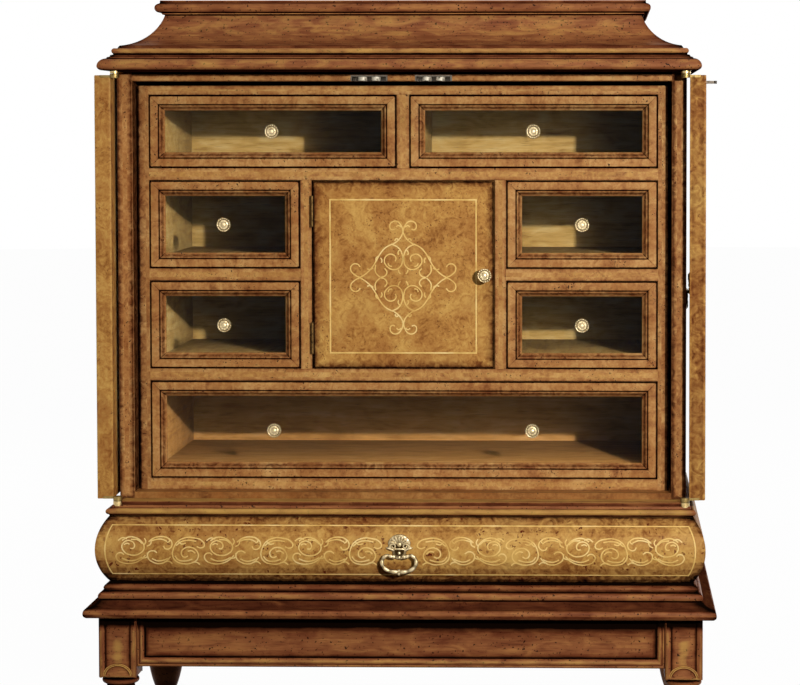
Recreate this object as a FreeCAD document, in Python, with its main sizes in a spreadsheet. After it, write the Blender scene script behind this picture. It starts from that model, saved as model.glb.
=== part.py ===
"""Collector's cabinet on a low stand: a caddy-topped case with two doors folded right back,
a nest of seven glass-fronted drawers round a small cupboard, and a bombe drawer in the stand.

Millimetres, +Z up, front towards -Y, origin on the floor under the middle of the object.
The two main doors are built shut and then turned to the open place that is the rest pose.
"""
import FreeCAD, Part
import math
import os
import re
import Sketcher
from FreeCAD import Placement, Rotation, Vector

doc = FreeCAD.newDocument("cabinet_on_stand")

# Driving dimensions
SIZES = {
    # plan lines that every moulding projects from, outside the case's sides and front
    "line_margin": 1.5, "line_forward": 28, "back_depth": 203,
    # heights of the stack, from the floor up; the case takes its height from the drawers in it
    "leg_height": 177.5, "base_height": 39.5, "frieze_height": 82, "ledge_height": 17,
    "cornice_height": 29, "caddy_height": 61,
    # legs: square block, ring and top-shaped foot
    "leg_side": 47, "leg_projection": 18.5, "block_height": 79.5, "block_round": 4,
    "ring_radius": 23.2, "ring_thick": 8, "collar_height": 1.5,
    "foot_pad_radius": 9.5, "foot_belly_radius": 23.2, "foot_belly_level": 46, "foot_neck_radius": 16.8,
    # aprons between the legs
    "apron_height": 65.5, "apron_thick": 18, "apron_setback": 3, "apron_recess": 3,
    "apron_margin": 12.5, "apron_bead": 5.2,
    # base moulding
    "base_foot": 31, "base_nose": 35, "base_upper_bead": 12.7, "base_lower_bead": 18.5, "base_top": 5,
    # bombe drawer of the stand
    "frieze_neck": 6, "frieze_bulge": 21.5, "frieze_rail_thick": 18, "frieze_front_depth": 14,
    "frieze_back_thick": 18, "frieze_gap": 0.6, "frieze_side": 10, "frieze_bottom": 4,
    "frieze_floor": 12, "frieze_back_gap": 5, "frieze_headroom": 8,
    # ledge moulding under the case
    "ledge_foot": 6, "ledge_nose": 10, "ledge_step": 3,
    # case
    "case_half": 354, "case_front": 140, "side_thick": 18.5, "case_floor_thick": 8,
    "case_roof_thick": 11, "case_back_thick": 6,
    # cornice and caddy top
    "cornice_torus": 16, "cornice_step": 5, "cornice_bead": 0, "cove_foot": -8.5, "cove_middle": -40,
    "cove_neck": -57.5, "cap_tip": -46, "cap_height": 18,
    # nest of drawers
    "nest_gap": 2.3, "nest_recess": 26, "nest_back_gap": 7, "nest_top_gap": 5.5, "nest_side_thick": 14,
    "nest_floor_thick": 14, "nest_roof_thick": 11, "shelf_thick": 15, "partition_thick": 14,
    "divider_thick": 15.5,
    "bottom_row": 123.5, "small_row": 111, "top_row": 92, "cupboard_half": 115,
    # nest drawers
    "drawer_gap": 1, "drawer_seat": 0.3, "front_proud": 1.5, "front_thick": 18, "frame_flat": 11.5,
    "frame_width": 19, "glass_recess": 7, "glass_thick": 3, "glass_rebate": 4, "glass_play": 0.2,
    "drawer_side": 8, "drawer_side_inset": 1, "drawer_floor": 15, "drawer_floor_thick": 4,
    "drawer_back_gap": 10, "drawer_headroom": 3,
    # knobs
    "knob_radius": 9, "knob_length": 20, "knob_flange_radius": 6.5, "knob_flange": 1.5,
    "knob_neck_radius": 3.5, "knob_head": 8, "knob_tip_radius": 1.5, "stem_radius": 2, "stem_play": 0.1,
    "nut_radius": 5.5, "nut_thick": 4,
    "bottom_knob_offset": 162, "door_knob_inset": 11.4, "door_stem_length": 12,
    # cupboard door and its butt hinges
    "cupboard_door_thick": 18, "butt_leaf_thick": 0.9, "butt_leaf_gap": 0.2, "butt_leaf_width": 15.5,
    "butt_length": 39, "butt_inset": 39, "butt_barrel_radius": 2, "butt_barrel_gap": 0.2,
    "butt_pin_radius": 1, "butt_play": 0.05, "butt_knuckle_gap": 0.3,
    # main doors
    "pivot_inset": 2, "door_case_gap": 1, "door_thick": 20, "door_overhang": 2, "door_set_in": 5,
    "door_meeting_gap": 2, "door_bottom_gap": 3, "door_top_gap": 4, "door_open_angle": 267.8,
    # knife hinges of the main doors
    "disc_radius": 5.8, "disc_pocket_play": 0.3, "door_disc_thick": 5.3, "case_disc_thick": 5.8,
    "disc_gap": 0.4, "lower_disc_gap": 0.7, "disc_drop": 1.8, "leaf_thick": 3, "leaf_width": 10,
    "door_leaf_length": 40, "door_leaf_depth": 8, "arm_half": 3, "case_leaf_length": 40,
    "hinge_pin_radius": 2, "hinge_play": 0.05, "pin_end_gap": 0.6,
    # roller catches and strikes
    "catch_offset": 40, "catch_length": 46, "catch_depth": 21, "catch_plate_thick": 1.8,
    "catch_cheek": 2, "catch_height": 7.4, "roller_radius": 5.65, "roller_offset": 8.5, "roller_back": 6.2,
    "roller_height": 4.6, "roller_play": 0.3, "axle_radius": 1.5, "axle_end_gap": 0.2, "axle_play": 0.05,
    "roller_travel": 2.5,
    "strike_height": 4, "strike_plate_half": 6, "strike_plate_thick": 1.2, "strike_neck_half": 1.2,
    "strike_head_half": 3.4, "strike_length": 14, "strike_shoulder": 10.3, "strike_barb": 0.7,
    # bail pulls
    "pull_plate_width": 34, "pull_plate_height": 31, "pull_plate_thick": 2, "pull_plate_below": 4.5,
    "post_radius": 2, "post_inset": 0.5, "post_length": 7.2, "bail_wire": 2.2, "bail_pin_tail": 2,
    "bail_pin_radius": 1.2, "bail_play": 0.05, "bail_ball_radius": 2.3, "bail_ball_gap": 0.5,
    "bail_standoff": 4.5, "drawer_pull_level": 35, "door_pull_inset": 33, "door_pull_level": 239,
}

# Places worked out from the driving dimensions
PLACES = {
    "line_half": "case_half + line_margin",
    "line_front": "case_front + line_forward",
    "case_height": "case_floor_thick + nest_floor_thick + bottom_row + 3 * shelf_thick + 2 * small_row"
                   " + top_row + nest_roof_thick + nest_top_gap + case_roof_thick",
    "base_z": "leg_height",
    "frieze_z": "base_z + base_height",
    "ledge_z": "frieze_z + frieze_height",
    "case_z": "ledge_z + ledge_height",
    "cornice_z": "case_z + case_height",
    "caddy_z": "cornice_z + cornice_height",
    "block_z": "leg_height - block_height",
    "ring_z": "block_z - collar_height - ring_thick",
    "leg_outer": "line_half + leg_projection",
    "leg_front": "-line_front - leg_projection",
    "leg_inner": "leg_outer - leg_side",
    "apron_z": "leg_height - apron_height",
    "frieze_front_back": "-line_front + frieze_front_depth",
    "frieze_nose": "-line_front - frieze_bulge",
    "frieze_rail_inner": "line_half - frieze_rail_thick",
    "frieze_box_back": "back_depth - frieze_back_thick - frieze_back_gap",
    "case_inner": "case_half - side_thick",
    "case_back_face": "back_depth - case_back_thick",
    "roof_z": "cornice_z - case_roof_thick",
    "nest_front": "-case_front + nest_recess",
    "nest_back": "case_back_face - nest_back_gap",
    "nest_half": "case_inner - nest_gap",
    "nest_inner": "nest_half - nest_side_thick",
    "nest_z": "case_z + case_floor_thick",
    "bottom_row_z": "nest_z + nest_floor_thick",
    "lower_shelf_z": "bottom_row_z + bottom_row",
    "lower_row_z": "lower_shelf_z + shelf_thick",
    "half_shelf_z": "lower_row_z + small_row",
    "upper_row_z": "half_shelf_z + shelf_thick",
    "upper_shelf_z": "upper_row_z + small_row",
    "top_row_z": "upper_shelf_z + shelf_thick",
    "nest_roof_z": "top_row_z + top_row",
    "column_inner": "cupboard_half + partition_thick",
    "drawer_face": "nest_front - front_proud",
    "glass_face": "drawer_face + glass_recess",
    "front_back": "drawer_face + front_thick",
    "drawer_back": "nest_back - drawer_back_gap",
    "cupboard_hinge_gap": "2 * butt_leaf_thick + butt_leaf_gap",
    "butt_barrel_forward": "butt_barrel_radius + butt_barrel_gap",
    "butt_x": "-cupboard_half + cupboard_hinge_gap / 2",
    "butt_y": "drawer_face - butt_barrel_forward",
    "door_inside": "-case_front - door_case_gap",
    "door_face": "door_inside - door_thick",
    "pivot_half": "case_half - pivot_inset",
    "pivot_y": "door_face - door_set_in",
    "door_z": "case_z + door_bottom_gap",
    "door_top": "cornice_z - door_top_gap",
    "upper_disc_z": "cornice_z - disc_drop",
    "hinge_pin_length": "case_disc_thick + disc_gap - pin_end_gap",
    "catch_z": "roof_z + catch_height",
    "roller_y": "-case_front + roller_back",
    "roller_top": "catch_z - catch_plate_thick - roller_play",
    "axle_length": "catch_plate_thick + roller_play - axle_end_gap",
    "strike_z": "roller_top - roller_height / 2 - strike_height / 2",
    "post_offset": "pull_plate_width / 2 - post_inset",
    "bail_radius": "post_offset + post_radius + bail_ball_gap + bail_ball_radius",
    "drawer_pull_z": "frieze_z + drawer_pull_level",
    "door_pull_x": "door_pull_inset + door_meeting_gap / 2",
    "door_pull_z": "door_z + door_pull_level",
}

sheet = doc.addObject("Spreadsheet::Sheet", "Sizes")
for row, (alias, value) in enumerate(SIZES.items(), start=1):
    sheet.set(f"A{row}", alias.replace("_", " "))
    sheet.set(f"B{row}", str(value))
    sheet.setAlias(f"B{row}", alias)
doc.recompute()

WORD = re.compile(r"[a-z][a-z_0-9]*")
nodes = []


# Helpers that bind objects to the sheet
def bind(expression):
    """Give an expression over sizes and places as one over the sheet's cells."""
    def swap(match):
        word = match.group()
        if word in PLACES:
            return f"({bind(PLACES[word])})"
        return f"Sizes.{word}" if word in SIZES else word
    return WORD.sub(swap, expression)


def number(expression):
    """Work out an expression over sizes and places in millimetres."""
    return float(sheet.evalExpression(bind(expression)))


def bound(item, **sizes):
    """Bind properties to the sheet; a double underscore stands for the dots of a path."""
    for path, expression in sizes.items():
        item.setExpression(path.replace("__", "."), bind(expression))
    return item


def placed(item, x="0", y="0", z="0"):
    """Bind an object's place to the sheet."""
    return bound(item, Placement__Base__x=x, Placement__Base__y=y, Placement__Base__z=z)


def box(name, x, y, z):
    """A box between a pair of places along each axis."""
    item = doc.addObject("Part::Box", name)
    bound(item, Length=f"({x[1]}) - ({x[0]})", Width=f"({y[1]}) - ({y[0]})", Height=f"({z[1]}) - ({z[0]})")
    return placed(item, x[0], y[0], z[0])


TURNS = {"x": Rotation(Vector(0, 1, 0), 90), "y": Rotation(Vector(1, 0, 0), 90), "z": Rotation()}


def cylinder(name, radius, length, axis, x, y, z):
    """A cylinder from a place along +X, -Y or +Z."""
    item = doc.addObject("Part::Cylinder", name)
    item.Placement = Placement(Vector(), TURNS[axis])
    bound(item, Radius=radius, Height=length)
    return placed(item, x, y, z)


def cut(name, base, *tools):
    item = doc.addObject("Part::Cut", name)
    item.Base = base
    item.Tool = tools[0] if len(tools) == 1 else fuse(name + "_tools", *tools)
    return item


def fuse(name, *shapes):
    item = doc.addObject("Part::MultiFuse", name)
    item.Shapes = list(shapes)
    return item


def common(name, *shapes):
    item = doc.addObject("Part::MultiCommon", name)
    item.Shapes = list(shapes)
    return item


def group(name, *shapes):
    """Separate solids kept together under one name."""
    item = doc.addObject("Part::Compound", name)
    item.Links = list(shapes)
    return item


def mirrored(name, source):
    """The same piece on the other side of the middle plane."""
    item = doc.addObject("Part::Mirroring", name)
    item.Source = source
    item.Normal = Vector(1, 0, 0)
    return item


def both_sides(name, source):
    return group(name, source, mirrored(name + "_mirrored", source))


def node(item, label):
    """Note a finished sub-part and the name it is written under."""
    item.Label = label
    nodes.append(item)
    return item


def draw(sketch, outline):
    """Draw a closed outline of bound corners.

    A corner is (a, b), reached by a straight line, or (a, b, middle_a, middle_b), reached by an
    arc through the middle given.
    """
    def fix(edge, vertex, place):
        for direction, expression in zip(("DistanceX", "DistanceY"), place):
            index = sketch.addConstraint(Sketcher.Constraint(direction, edge, vertex, number(expression)))
            sketch.setExpression(f"Constraints[{index}]", bind(expression))

    def point(place):
        return Vector(number(place[0]), number(place[1]), 0)

    ends = []
    for before, corner in zip([outline[-1]] + outline[:-1], outline):
        start = point(before[:2])
        end = point(corner[:2])
        if len(corner) == 2:
            edge = sketch.addGeometry(Part.LineSegment(start, end), False)
            ends.append((edge, 1, 2))
            fix(edge, 2, corner)
            continue
        middle = point(corner[2:])
        anticlockwise = (middle - start).cross(end - middle).z > 0
        first, last = (start, end) if anticlockwise else (end, start)
        round_edge = Part.Circle(first, middle, last)
        from_centre = [math.atan2(place.y - round_edge.Center.y, place.x - round_edge.Center.x)
                       for place in (first, last)]
        circle = Part.Circle(round_edge.Center, Vector(0, 0, 1), round_edge.Radius)
        edge = sketch.addGeometry(Part.ArcOfCircle(circle, *from_centre), False)
        ends.append((edge, 1, 2) if anticlockwise else (edge, 2, 1))
        fix(edge, ends[-1][2], corner[:2])
        guide = sketch.addGeometry(Part.Point(middle), True)
        fix(guide, 1, corner[2:])
        sketch.addConstraint(Sketcher.Constraint("PointOnObject", guide, 1, edge))
    for before, after in zip([ends[-1]] + ends[:-1], ends):
        sketch.addConstraint(Sketcher.Constraint("Coincident", before[0], before[2], after[0], after[1]))


PLANES = {
    "YZ": Rotation(0.5, 0.5, 0.5, 0.5),
    "XZ": Rotation(Vector(1, 0, 0), 90),
    "XY": Rotation(),
}


def extruded(name, plane, outline, start, end):
    """A prism of an outline, between two places along the axis that the plane faces."""
    sketch = doc.addObject("Sketcher::SketchObject", name + "_outline")
    draw(sketch, outline)
    sketch.Placement = Placement(Vector(), PLANES[plane])
    axis, base = {"YZ": ("x", start), "XZ": ("y", end), "XY": ("z", start)}[plane]
    bound(sketch, **{"Placement__Base__" + axis: base})
    item = doc.addObject("Part::Extrusion", name)
    item.Base = sketch
    item.DirMode = "Normal"
    item.Solid = True
    return bound(item, LengthFwd=f"({end}) - ({start})")


def risen(profile, height, start="0"):
    """Stretch a profile, whose heights are numbers drawn upwards from 0, to the height given."""
    drawn = profile[-1][1]
    return [tuple(f"{start} + {item} / {drawn} * ({height})" if place % 2 else item
                  for place, item in enumerate(point)) for point in profile]


def moulded_board(name, z, profile, depth="back_depth"):
    """A board with one moulding run mitred round its front and both ends.

    The profile goes upwards from the board's underside: (projection, height), with the
    projection and height of an arc's middle after them where the moulding is round.
    """
    def run(place):
        return [tuple(place(item) for item in zip(point[::2], point[1::2])) for point in profile]

    def flat(pairs):
        return [sum(point, ()) for point in pairs]

    top = f"{z} + {profile[-1][1]}"
    bottom = f"{z} + {profile[0][1]}"
    far = "-line_half - 2 * base_nose"
    front = flat(run(lambda at: (f"-line_front - ({at[0]})", f"{z} + {at[1]}")))
    front += [(depth, top), (depth, bottom)]
    side = flat(run(lambda at: (f"line_half + ({at[0]})", f"{z} + {at[1]}")))
    side += [(far, top), (far, bottom)]
    reach = "line_half + 2 * base_nose"
    front_run = extruded(name + "_front_run", "YZ", front, f"-({reach})", reach)
    right_run = extruded(name + "_right_run", "XZ", side, "-line_front - 2 * base_nose", depth)
    return common(name, front_run, right_run, mirrored(name + "_left_run", right_run))


def turned(name, profile):
    """A body turned about its own Z axis from an outline of (radius, height) corners."""
    body = doc.addObject("PartDesign::Body", name)
    sketch = body.newObject("Sketcher::SketchObject", name + "_profile")
    plane = [item for item in body.Origin.OriginFeatures if item.Role == "XZ_Plane"][0]
    sketch.AttachmentSupport = [(plane, "")]
    sketch.MapMode = "FlatFace"
    draw(sketch, profile)
    feature = body.newObject("PartDesign::Revolution", name + "_turning")
    feature.Profile = sketch
    feature.ReferenceAxis = (sketch, ["V_Axis"])
    feature.Angle = 360
    return body


# Legs: a turned foot and ring under a square block with rounded lower corners
def leg(name, x, y):
    """One leg, given the places of its left and front faces."""
    foot = turned(name + "_foot", [
        ("0", "0"), ("foot_pad_radius", "0"),
        ("foot_belly_radius", "foot_belly_level",
         "0.45 * foot_pad_radius + 0.55 * foot_belly_radius", "0.4 * foot_belly_level"),
        ("foot_neck_radius", "ring_z",
         "0.42 * foot_neck_radius + 0.58 * foot_belly_radius", "0.46 * ring_z + 0.54 * foot_belly_level"),
        ("ring_radius - ring_thick / 2", "ring_z"),
        ("ring_radius - ring_thick / 2", "ring_z + ring_thick", "ring_radius", "ring_z + ring_thick / 2"),
        ("foot_neck_radius", "ring_z + ring_thick"), ("foot_neck_radius", "block_z"), ("0", "block_z")])
    placed(foot, f"{x} + leg_side / 2", f"{y} + leg_side / 2")
    block = doc.addObject("Part::Box", name + "_block")
    bound(block, Length="leg_side", Width="leg_side", Height="block_height")
    placed(block, x, y, "block_z")
    doc.recompute()
    lower = [index for index, edge in enumerate(block.Shape.Edges, start=1)
             if max(abs(vertex.Z - number("block_z")) for vertex in edge.Vertexes) < 0.001]
    rounded = doc.addObject("Part::Fillet", name + "_rounded_block")
    rounded.Base = block
    rounded.Edges = [(index, number("block_round"), number("block_round")) for index in lower]
    return fuse(name, foot, rounded)


rear_leg_front = "back_depth - leg_side"
node(both_sides("front_leg_pair", leg("front_leg", "leg_inner", "leg_front")), "front_legs")
node(both_sides("rear_leg_pair", leg("rear_leg", "leg_inner", rear_leg_front)), "rear_legs")

# Aprons: boards between the legs, with a sunk panel and a bead along the lower edge
apron_levels = ("apron_z", "leg_height")
panel_levels = ("apron_z + apron_margin", "leg_height - apron_margin")
front_apron_face = "leg_front + apron_setback"
front_apron = cut(
    "front_apron_board",
    box("front_apron_blank", ("-leg_inner", "leg_inner"),
        (front_apron_face, f"{front_apron_face} + apron_thick"), apron_levels),
    box("front_apron_panel", ("-leg_inner + apron_margin", "leg_inner - apron_margin"),
        (front_apron_face, f"{front_apron_face} + apron_recess"), panel_levels))
front_bead = cylinder("front_apron_bead", "apron_bead", "2 * leg_inner", "x",
                      "-leg_inner", f"{front_apron_face} + apron_bead / 2", "apron_z + apron_bead")
front_apron = fuse("front_apron", front_apron, front_bead)

side_apron_face = "leg_outer - apron_setback"
side_apron_run = ("leg_front + leg_side", rear_leg_front)
side_apron = cut(
    "side_apron",
    box("side_apron_blank", (f"{side_apron_face} - apron_thick", side_apron_face),
        side_apron_run, apron_levels),
    box("side_apron_panel", (f"{side_apron_face} - apron_recess", side_apron_face),
        (f"{side_apron_run[0]} + apron_margin", f"{side_apron_run[1]} - apron_margin"), panel_levels))
back_apron = box("back_apron", ("-leg_inner", "leg_inner"),
                 ("back_depth - apron_thick", "back_depth"), apron_levels)
left_side_apron = mirrored("left_side_apron", side_apron)
node(group("apron_boards", front_apron, side_apron, left_side_apron, back_apron), "aprons")

# Base moulding: nose, ogee and two beads, on the board that the legs carry
node(moulded_board("base_board", "base_z", risen([
    ("base_foot", 0), ("base_nose - 1", 2),
    ("base_nose - 1.5", 11.5, "base_nose", 6.7),
    ("base_lower_bead + 0.5", 18.2, "0.6 * base_lower_bead + 0.4 * base_nose", 13.4),
    ("base_lower_bead - 3", 19.4), ("base_lower_bead - 3", 27.6, "base_lower_bead", 23.5),
    ("base_upper_bead - 3.2", 28.6), ("base_upper_bead - 3.2", 36.4, "base_upper_bead", 32.5),
    ("base_top", 37), ("base_top", 39.5)], "base_height")), "base_moulding")

# Stand frieze: bombe side rails and a back rail, which house the wide drawer
def bombe(place):
    """The swelling outline of the frieze, bottom to top, at a plan line given."""
    return [(place("frieze_neck"), "frieze_z"),
            (place("frieze_neck"), "ledge_z", place("frieze_bulge"), "frieze_z + frieze_height / 2")]


side_rail = extruded(
    "frieze_side_rail", "XZ",
    bombe(lambda p: f"line_half + {p}")
    + [("frieze_rail_inner", "ledge_z"), ("frieze_rail_inner", "frieze_z")],
    "frieze_front_back + frieze_gap", "back_depth")
back_rail = box("frieze_back_rail", ("-frieze_rail_inner", "frieze_rail_inner"),
                ("back_depth - frieze_back_thick", "back_depth"), ("frieze_z", "ledge_z"))
node(group("frieze", side_rail, mirrored("frieze_left_rail", side_rail), back_rail), "frieze_rails")


# Bombe drawer
def trimmed_bombe(place):
    """The frieze outline less the running gap above and below the drawer front."""
    return [(place("frieze_neck"), "frieze_z + frieze_gap"),
            (place("frieze_neck"), "ledge_z - frieze_gap",
             place("frieze_bulge"), "frieze_z + frieze_height / 2")]


bombe_front = extruded(
    "bombe_front_run", "YZ",
    trimmed_bombe(lambda p: f"-line_front - {p}")
    + [("frieze_front_back", "ledge_z - frieze_gap"), ("frieze_front_back", "frieze_z + frieze_gap")],
    "-line_half - 2 * frieze_bulge", "line_half + 2 * frieze_bulge")
bombe_end = extruded(
    "bombe_end_run", "XZ",
    trimmed_bombe(lambda p: f"line_half + {p}")
    + [("-line_half - 2 * frieze_bulge", "ledge_z - frieze_gap"),
       ("-line_half - 2 * frieze_bulge", "frieze_z + frieze_gap")],
    "-line_front - 2 * frieze_bulge", "frieze_front_back")
wide_front = common("wide_drawer_front", bombe_front, bombe_end, mirrored("bombe_left_end_run", bombe_end))
node(wide_front, "stand_drawer_front")


def tray(name, x, y, z, wall, floor, floor_thick, back_wall):
    """Two sides, a back and a raised floor, as separate boards inside the places given."""
    left = box(name + "_left_side", (x[0], f"{x[0]} + {wall}"), y, z)
    right = box(name + "_right_side", (f"{x[1]} - {wall}", x[1]), y, z)
    inner = (f"{x[0]} + {wall}", f"{x[1]} - {wall}")
    back = box(name + "_back", inner, (f"{y[1]} - {back_wall}", y[1]), z)
    base = box(name + "_floor", inner, (y[0], f"{y[1]} - {back_wall}"), (f"{floor} - {floor_thick}", floor))
    return [left, right, back, base]


wide_half = "frieze_rail_inner - drawer_gap"
node(group("wide_drawer_boards", *tray(
    "wide_drawer", (f"-({wide_half})", wide_half), ("frieze_front_back", "frieze_box_back"),
    ("frieze_z + drawer_seat", "ledge_z - frieze_headroom"),
    "frieze_side", "frieze_z + frieze_floor", "frieze_bottom", "frieze_side")), "stand_drawer_box")


# Bail pulls: a plate with two posts, and a hanging bail that turns on pins in the posts
def pull(name, x, face, pivot, curved_front=None):
    """The plate and bail of a pull on a face towards -Y, the plate fitted to a curved front if given."""
    pin_y = f"{face} - pull_plate_thick - bail_standoff"
    plate = box(name + "_plate", (f"{x} - pull_plate_width / 2", f"{x} + pull_plate_width / 2"),
                (f"{face} - pull_plate_thick", f"{face} + frieze_bulge / 2" if curved_front else face),
                (f"{pivot} - pull_plate_below", f"{pivot} - pull_plate_below + pull_plate_height"))
    if curved_front:
        plate = cut(name + "_fitted_plate", plate, curved_front)
    pieces = [plate]
    holes = []
    wires = []
    for side, sign in (("left", "-"), ("right", "+")):
        pieces.append(cylinder(f"{name}_{side}_post", "post_radius", "post_length", "y",
                               f"{x} {sign} post_offset", f"{face} - pull_plate_thick", pivot))
        length = "(bail_ball_radius + 2 * post_radius + bail_pin_tail)"
        start = f"{x} - bail_radius" if side == "left" else f"{x} + bail_radius - {length}"
        wires.append(cylinder(f"{name}_{side}_pin", "bail_pin_radius", length, "x", start, pin_y, pivot))
        holes.append(cylinder(f"{name}_{side}_hole", "bail_pin_radius + bail_play", length, "x",
                              start, pin_y, pivot))
        ball = doc.addObject("Part::Sphere", f"{name}_{side}_ball")
        bound(ball, Radius="bail_ball_radius")
        wires.append(placed(ball, f"{x} {sign} bail_radius", pin_y, pivot))
    ring = doc.addObject("Part::Torus", name + "_ring")
    ring.Angle3 = 180
    ring.Placement = Placement(Vector(), Rotation(Vector(1, 0, 0), -90))
    bound(ring, Radius1="bail_radius", Radius2="bail_wire")
    wires.append(placed(ring, x, pin_y, pivot))
    bored_plate = cut(name + "_plate_and_posts", fuse(name + "_plate_blank", *pieces), *holes)
    return bored_plate, fuse(name + "_bail", *wires)


plate, bail = pull("stand_drawer", "0", "frieze_nose", "drawer_pull_z", wide_front)
node(plate, "stand_drawer_pull_plate")
node(bail, "stand_drawer_bail")

# Knife hinges, built at the right-hand pivots with the door shut
def door_leaf(name, disc_z, leaf_z, pin_z):
    """The leaf let into a door edge: disc, arm and plate, with the pin."""
    disc = cylinder(name + "_disc", "disc_radius", "door_disc_thick", "z", "pivot_half", "pivot_y", disc_z)
    levels = (leaf_z, f"{leaf_z} + leaf_thick")
    arm = box(name + "_arm", ("pivot_half - arm_half", "pivot_half + door_overhang"),
              ("pivot_y", "pivot_y + door_leaf_depth + leaf_width"), levels)
    plate = box(name + "_plate", ("pivot_half - door_leaf_length", "pivot_half + door_overhang"),
                ("pivot_y + door_leaf_depth", "pivot_y + door_leaf_depth + leaf_width"), levels)
    pin = cylinder(name + "_pin", "hinge_pin_radius", "hinge_pin_length", "z", "pivot_half", "pivot_y", pin_z)
    return fuse(name, disc, arm, plate, pin)


def case_leaf(name, disc_z, leaf_z, grow="0"):
    """The leaf let into the case, or with grow the pocket that takes it."""
    disc = cylinder(name + "_disc", f"disc_radius + {grow}", "case_disc_thick", "z",
                    "pivot_half", "pivot_y", disc_z)
    plate = box(name + "_plate", ("pivot_half - leaf_width / 2", "pivot_half + leaf_width / 2"),
                ("pivot_y", "pivot_y + case_leaf_length"), (leaf_z, f"{leaf_z} + leaf_thick"))
    return fuse(name, disc, plate)


upper_door_disc_z = "upper_disc_z - disc_gap - door_disc_thick"
lower_door_disc_z = "case_z + lower_disc_gap"
upper_door_leaf = door_leaf("upper_door_leaf", upper_door_disc_z, "door_top - leaf_thick",
                            "upper_disc_z - disc_gap")
lower_door_leaf = door_leaf("lower_door_leaf", lower_door_disc_z, "door_z",
                            f"{lower_door_disc_z} - hinge_pin_length")
lower_case_disc_z = "case_z - case_disc_thick"
case_leaves = []
for level, disc_z, leaf_z in (("upper", "upper_disc_z", "cornice_z"),
                              ("lower", lower_case_disc_z, "case_z - leaf_thick")):
    leaf = case_leaf(f"{level}_case_leaf", disc_z, leaf_z)
    bore = cylinder(f"{level}_bore", "hinge_pin_radius + hinge_play", "case_disc_thick", "z",
                    "pivot_half", "pivot_y", disc_z)
    case_leaves.append(cut(f"{level}_bored_leaf", leaf, bore))
node(group("case_leaves", *case_leaves, *[mirrored(item.Name + "_left", item) for item in case_leaves]),
     "door_hinge_case_leaves")
upper_pocket = case_leaf("upper_pocket", "upper_disc_z", "cornice_z", "disc_pocket_play")
lower_pocket = case_leaf("lower_pocket", lower_case_disc_z, "case_z - leaf_thick", "disc_pocket_play")

# Ledge moulding that the case stands on, pocketed for the lower hinge leaves
ledge = moulded_board("ledge_board", "ledge_z", risen([
    ("ledge_foot", 0), ("ledge_foot", 1.5), ("ledge_foot + 0.5", 9, "ledge_nose", 5),
    ("ledge_step", 9.6), ("ledge_step", 12.4), ("0", 13), ("0", 17)], "ledge_height"))
node(cut("pocketed_ledge", ledge, lower_pocket, mirrored("left_lower_pocket", lower_pocket)), "stand_top")

# Case: two sides, floor, roof and back
side = box("case_right_side", ("case_inner", "case_half"), ("-case_front", "back_depth"),
           ("case_z", "cornice_z"))
node(both_sides("case_side_pair", side), "case_sides")
across = ("-case_inner", "case_inner")
node(box("case_floor_board", across, ("-case_front", "case_back_face"), ("case_z", "nest_z")), "case_bottom")
node(box("case_back_board", across, ("case_back_face", "back_depth"), ("case_z", "cornice_z")), "case_back")

# Roller catches: a plate let into the roof's front edge, with two rollers that spread apart
catch_run = ("catch_offset - catch_length / 2", "catch_offset + catch_length / 2")
catch_deep = ("-case_front", "-case_front + catch_depth")
roof = box("case_roof_board", across, ("-case_front", "case_back_face"), ("roof_z", "cornice_z"))
notch = box("catch_notch", catch_run, catch_deep, ("roof_z", "catch_z"))
node(cut("notched_roof", roof, notch, mirrored("left_catch_notch", notch)), "case_top")

catch_plate_z = "catch_z - catch_plate_thick"
catch_body = cut(
    "catch_shell", box("catch_block", catch_run, catch_deep, ("roof_z", "catch_z")),
    box("catch_mouth", (f"{catch_run[0]} + catch_cheek", f"{catch_run[1]} - catch_cheek"),
        ("-case_front", "-case_front + catch_depth - catch_cheek"), ("roof_z", catch_plate_z)))
slots = []
rollers = []
for name, sign in (("inner", "-"), ("outer", "+")):
    middle = f"catch_offset {sign} roller_offset"
    slot_play = "(axle_radius + axle_play)"
    slot_start = f"{middle} - {slot_play}" if sign == "+" else f"{middle} - roller_travel - {slot_play}"
    slots.append(box(f"{name}_slot", (slot_start, f"{slot_start} + roller_travel + 2 * {slot_play}"),
                     (f"roller_y - {slot_play}", f"roller_y + {slot_play}"), (catch_plate_z, "catch_z")))
    wheel = cylinder(f"{name}_wheel", "roller_radius", "roller_height", "z", middle, "roller_y",
                     "roller_top - roller_height")
    axle = cylinder(f"{name}_axle", "axle_radius", "axle_length", "z", middle, "roller_y", "roller_top")
    rollers.append((name, fuse(f"{name}_roller", wheel, axle)))
catch = cut("slotted_catch", catch_body, *slots)
node(both_sides("catch_pair", catch), "catch_housings")
for name, roller in rollers:
    node(roller, f"right_catch_{name}_roller")
    node(mirrored(f"left_{name}_roller", roller), f"left_catch_{name}_roller")

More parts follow.
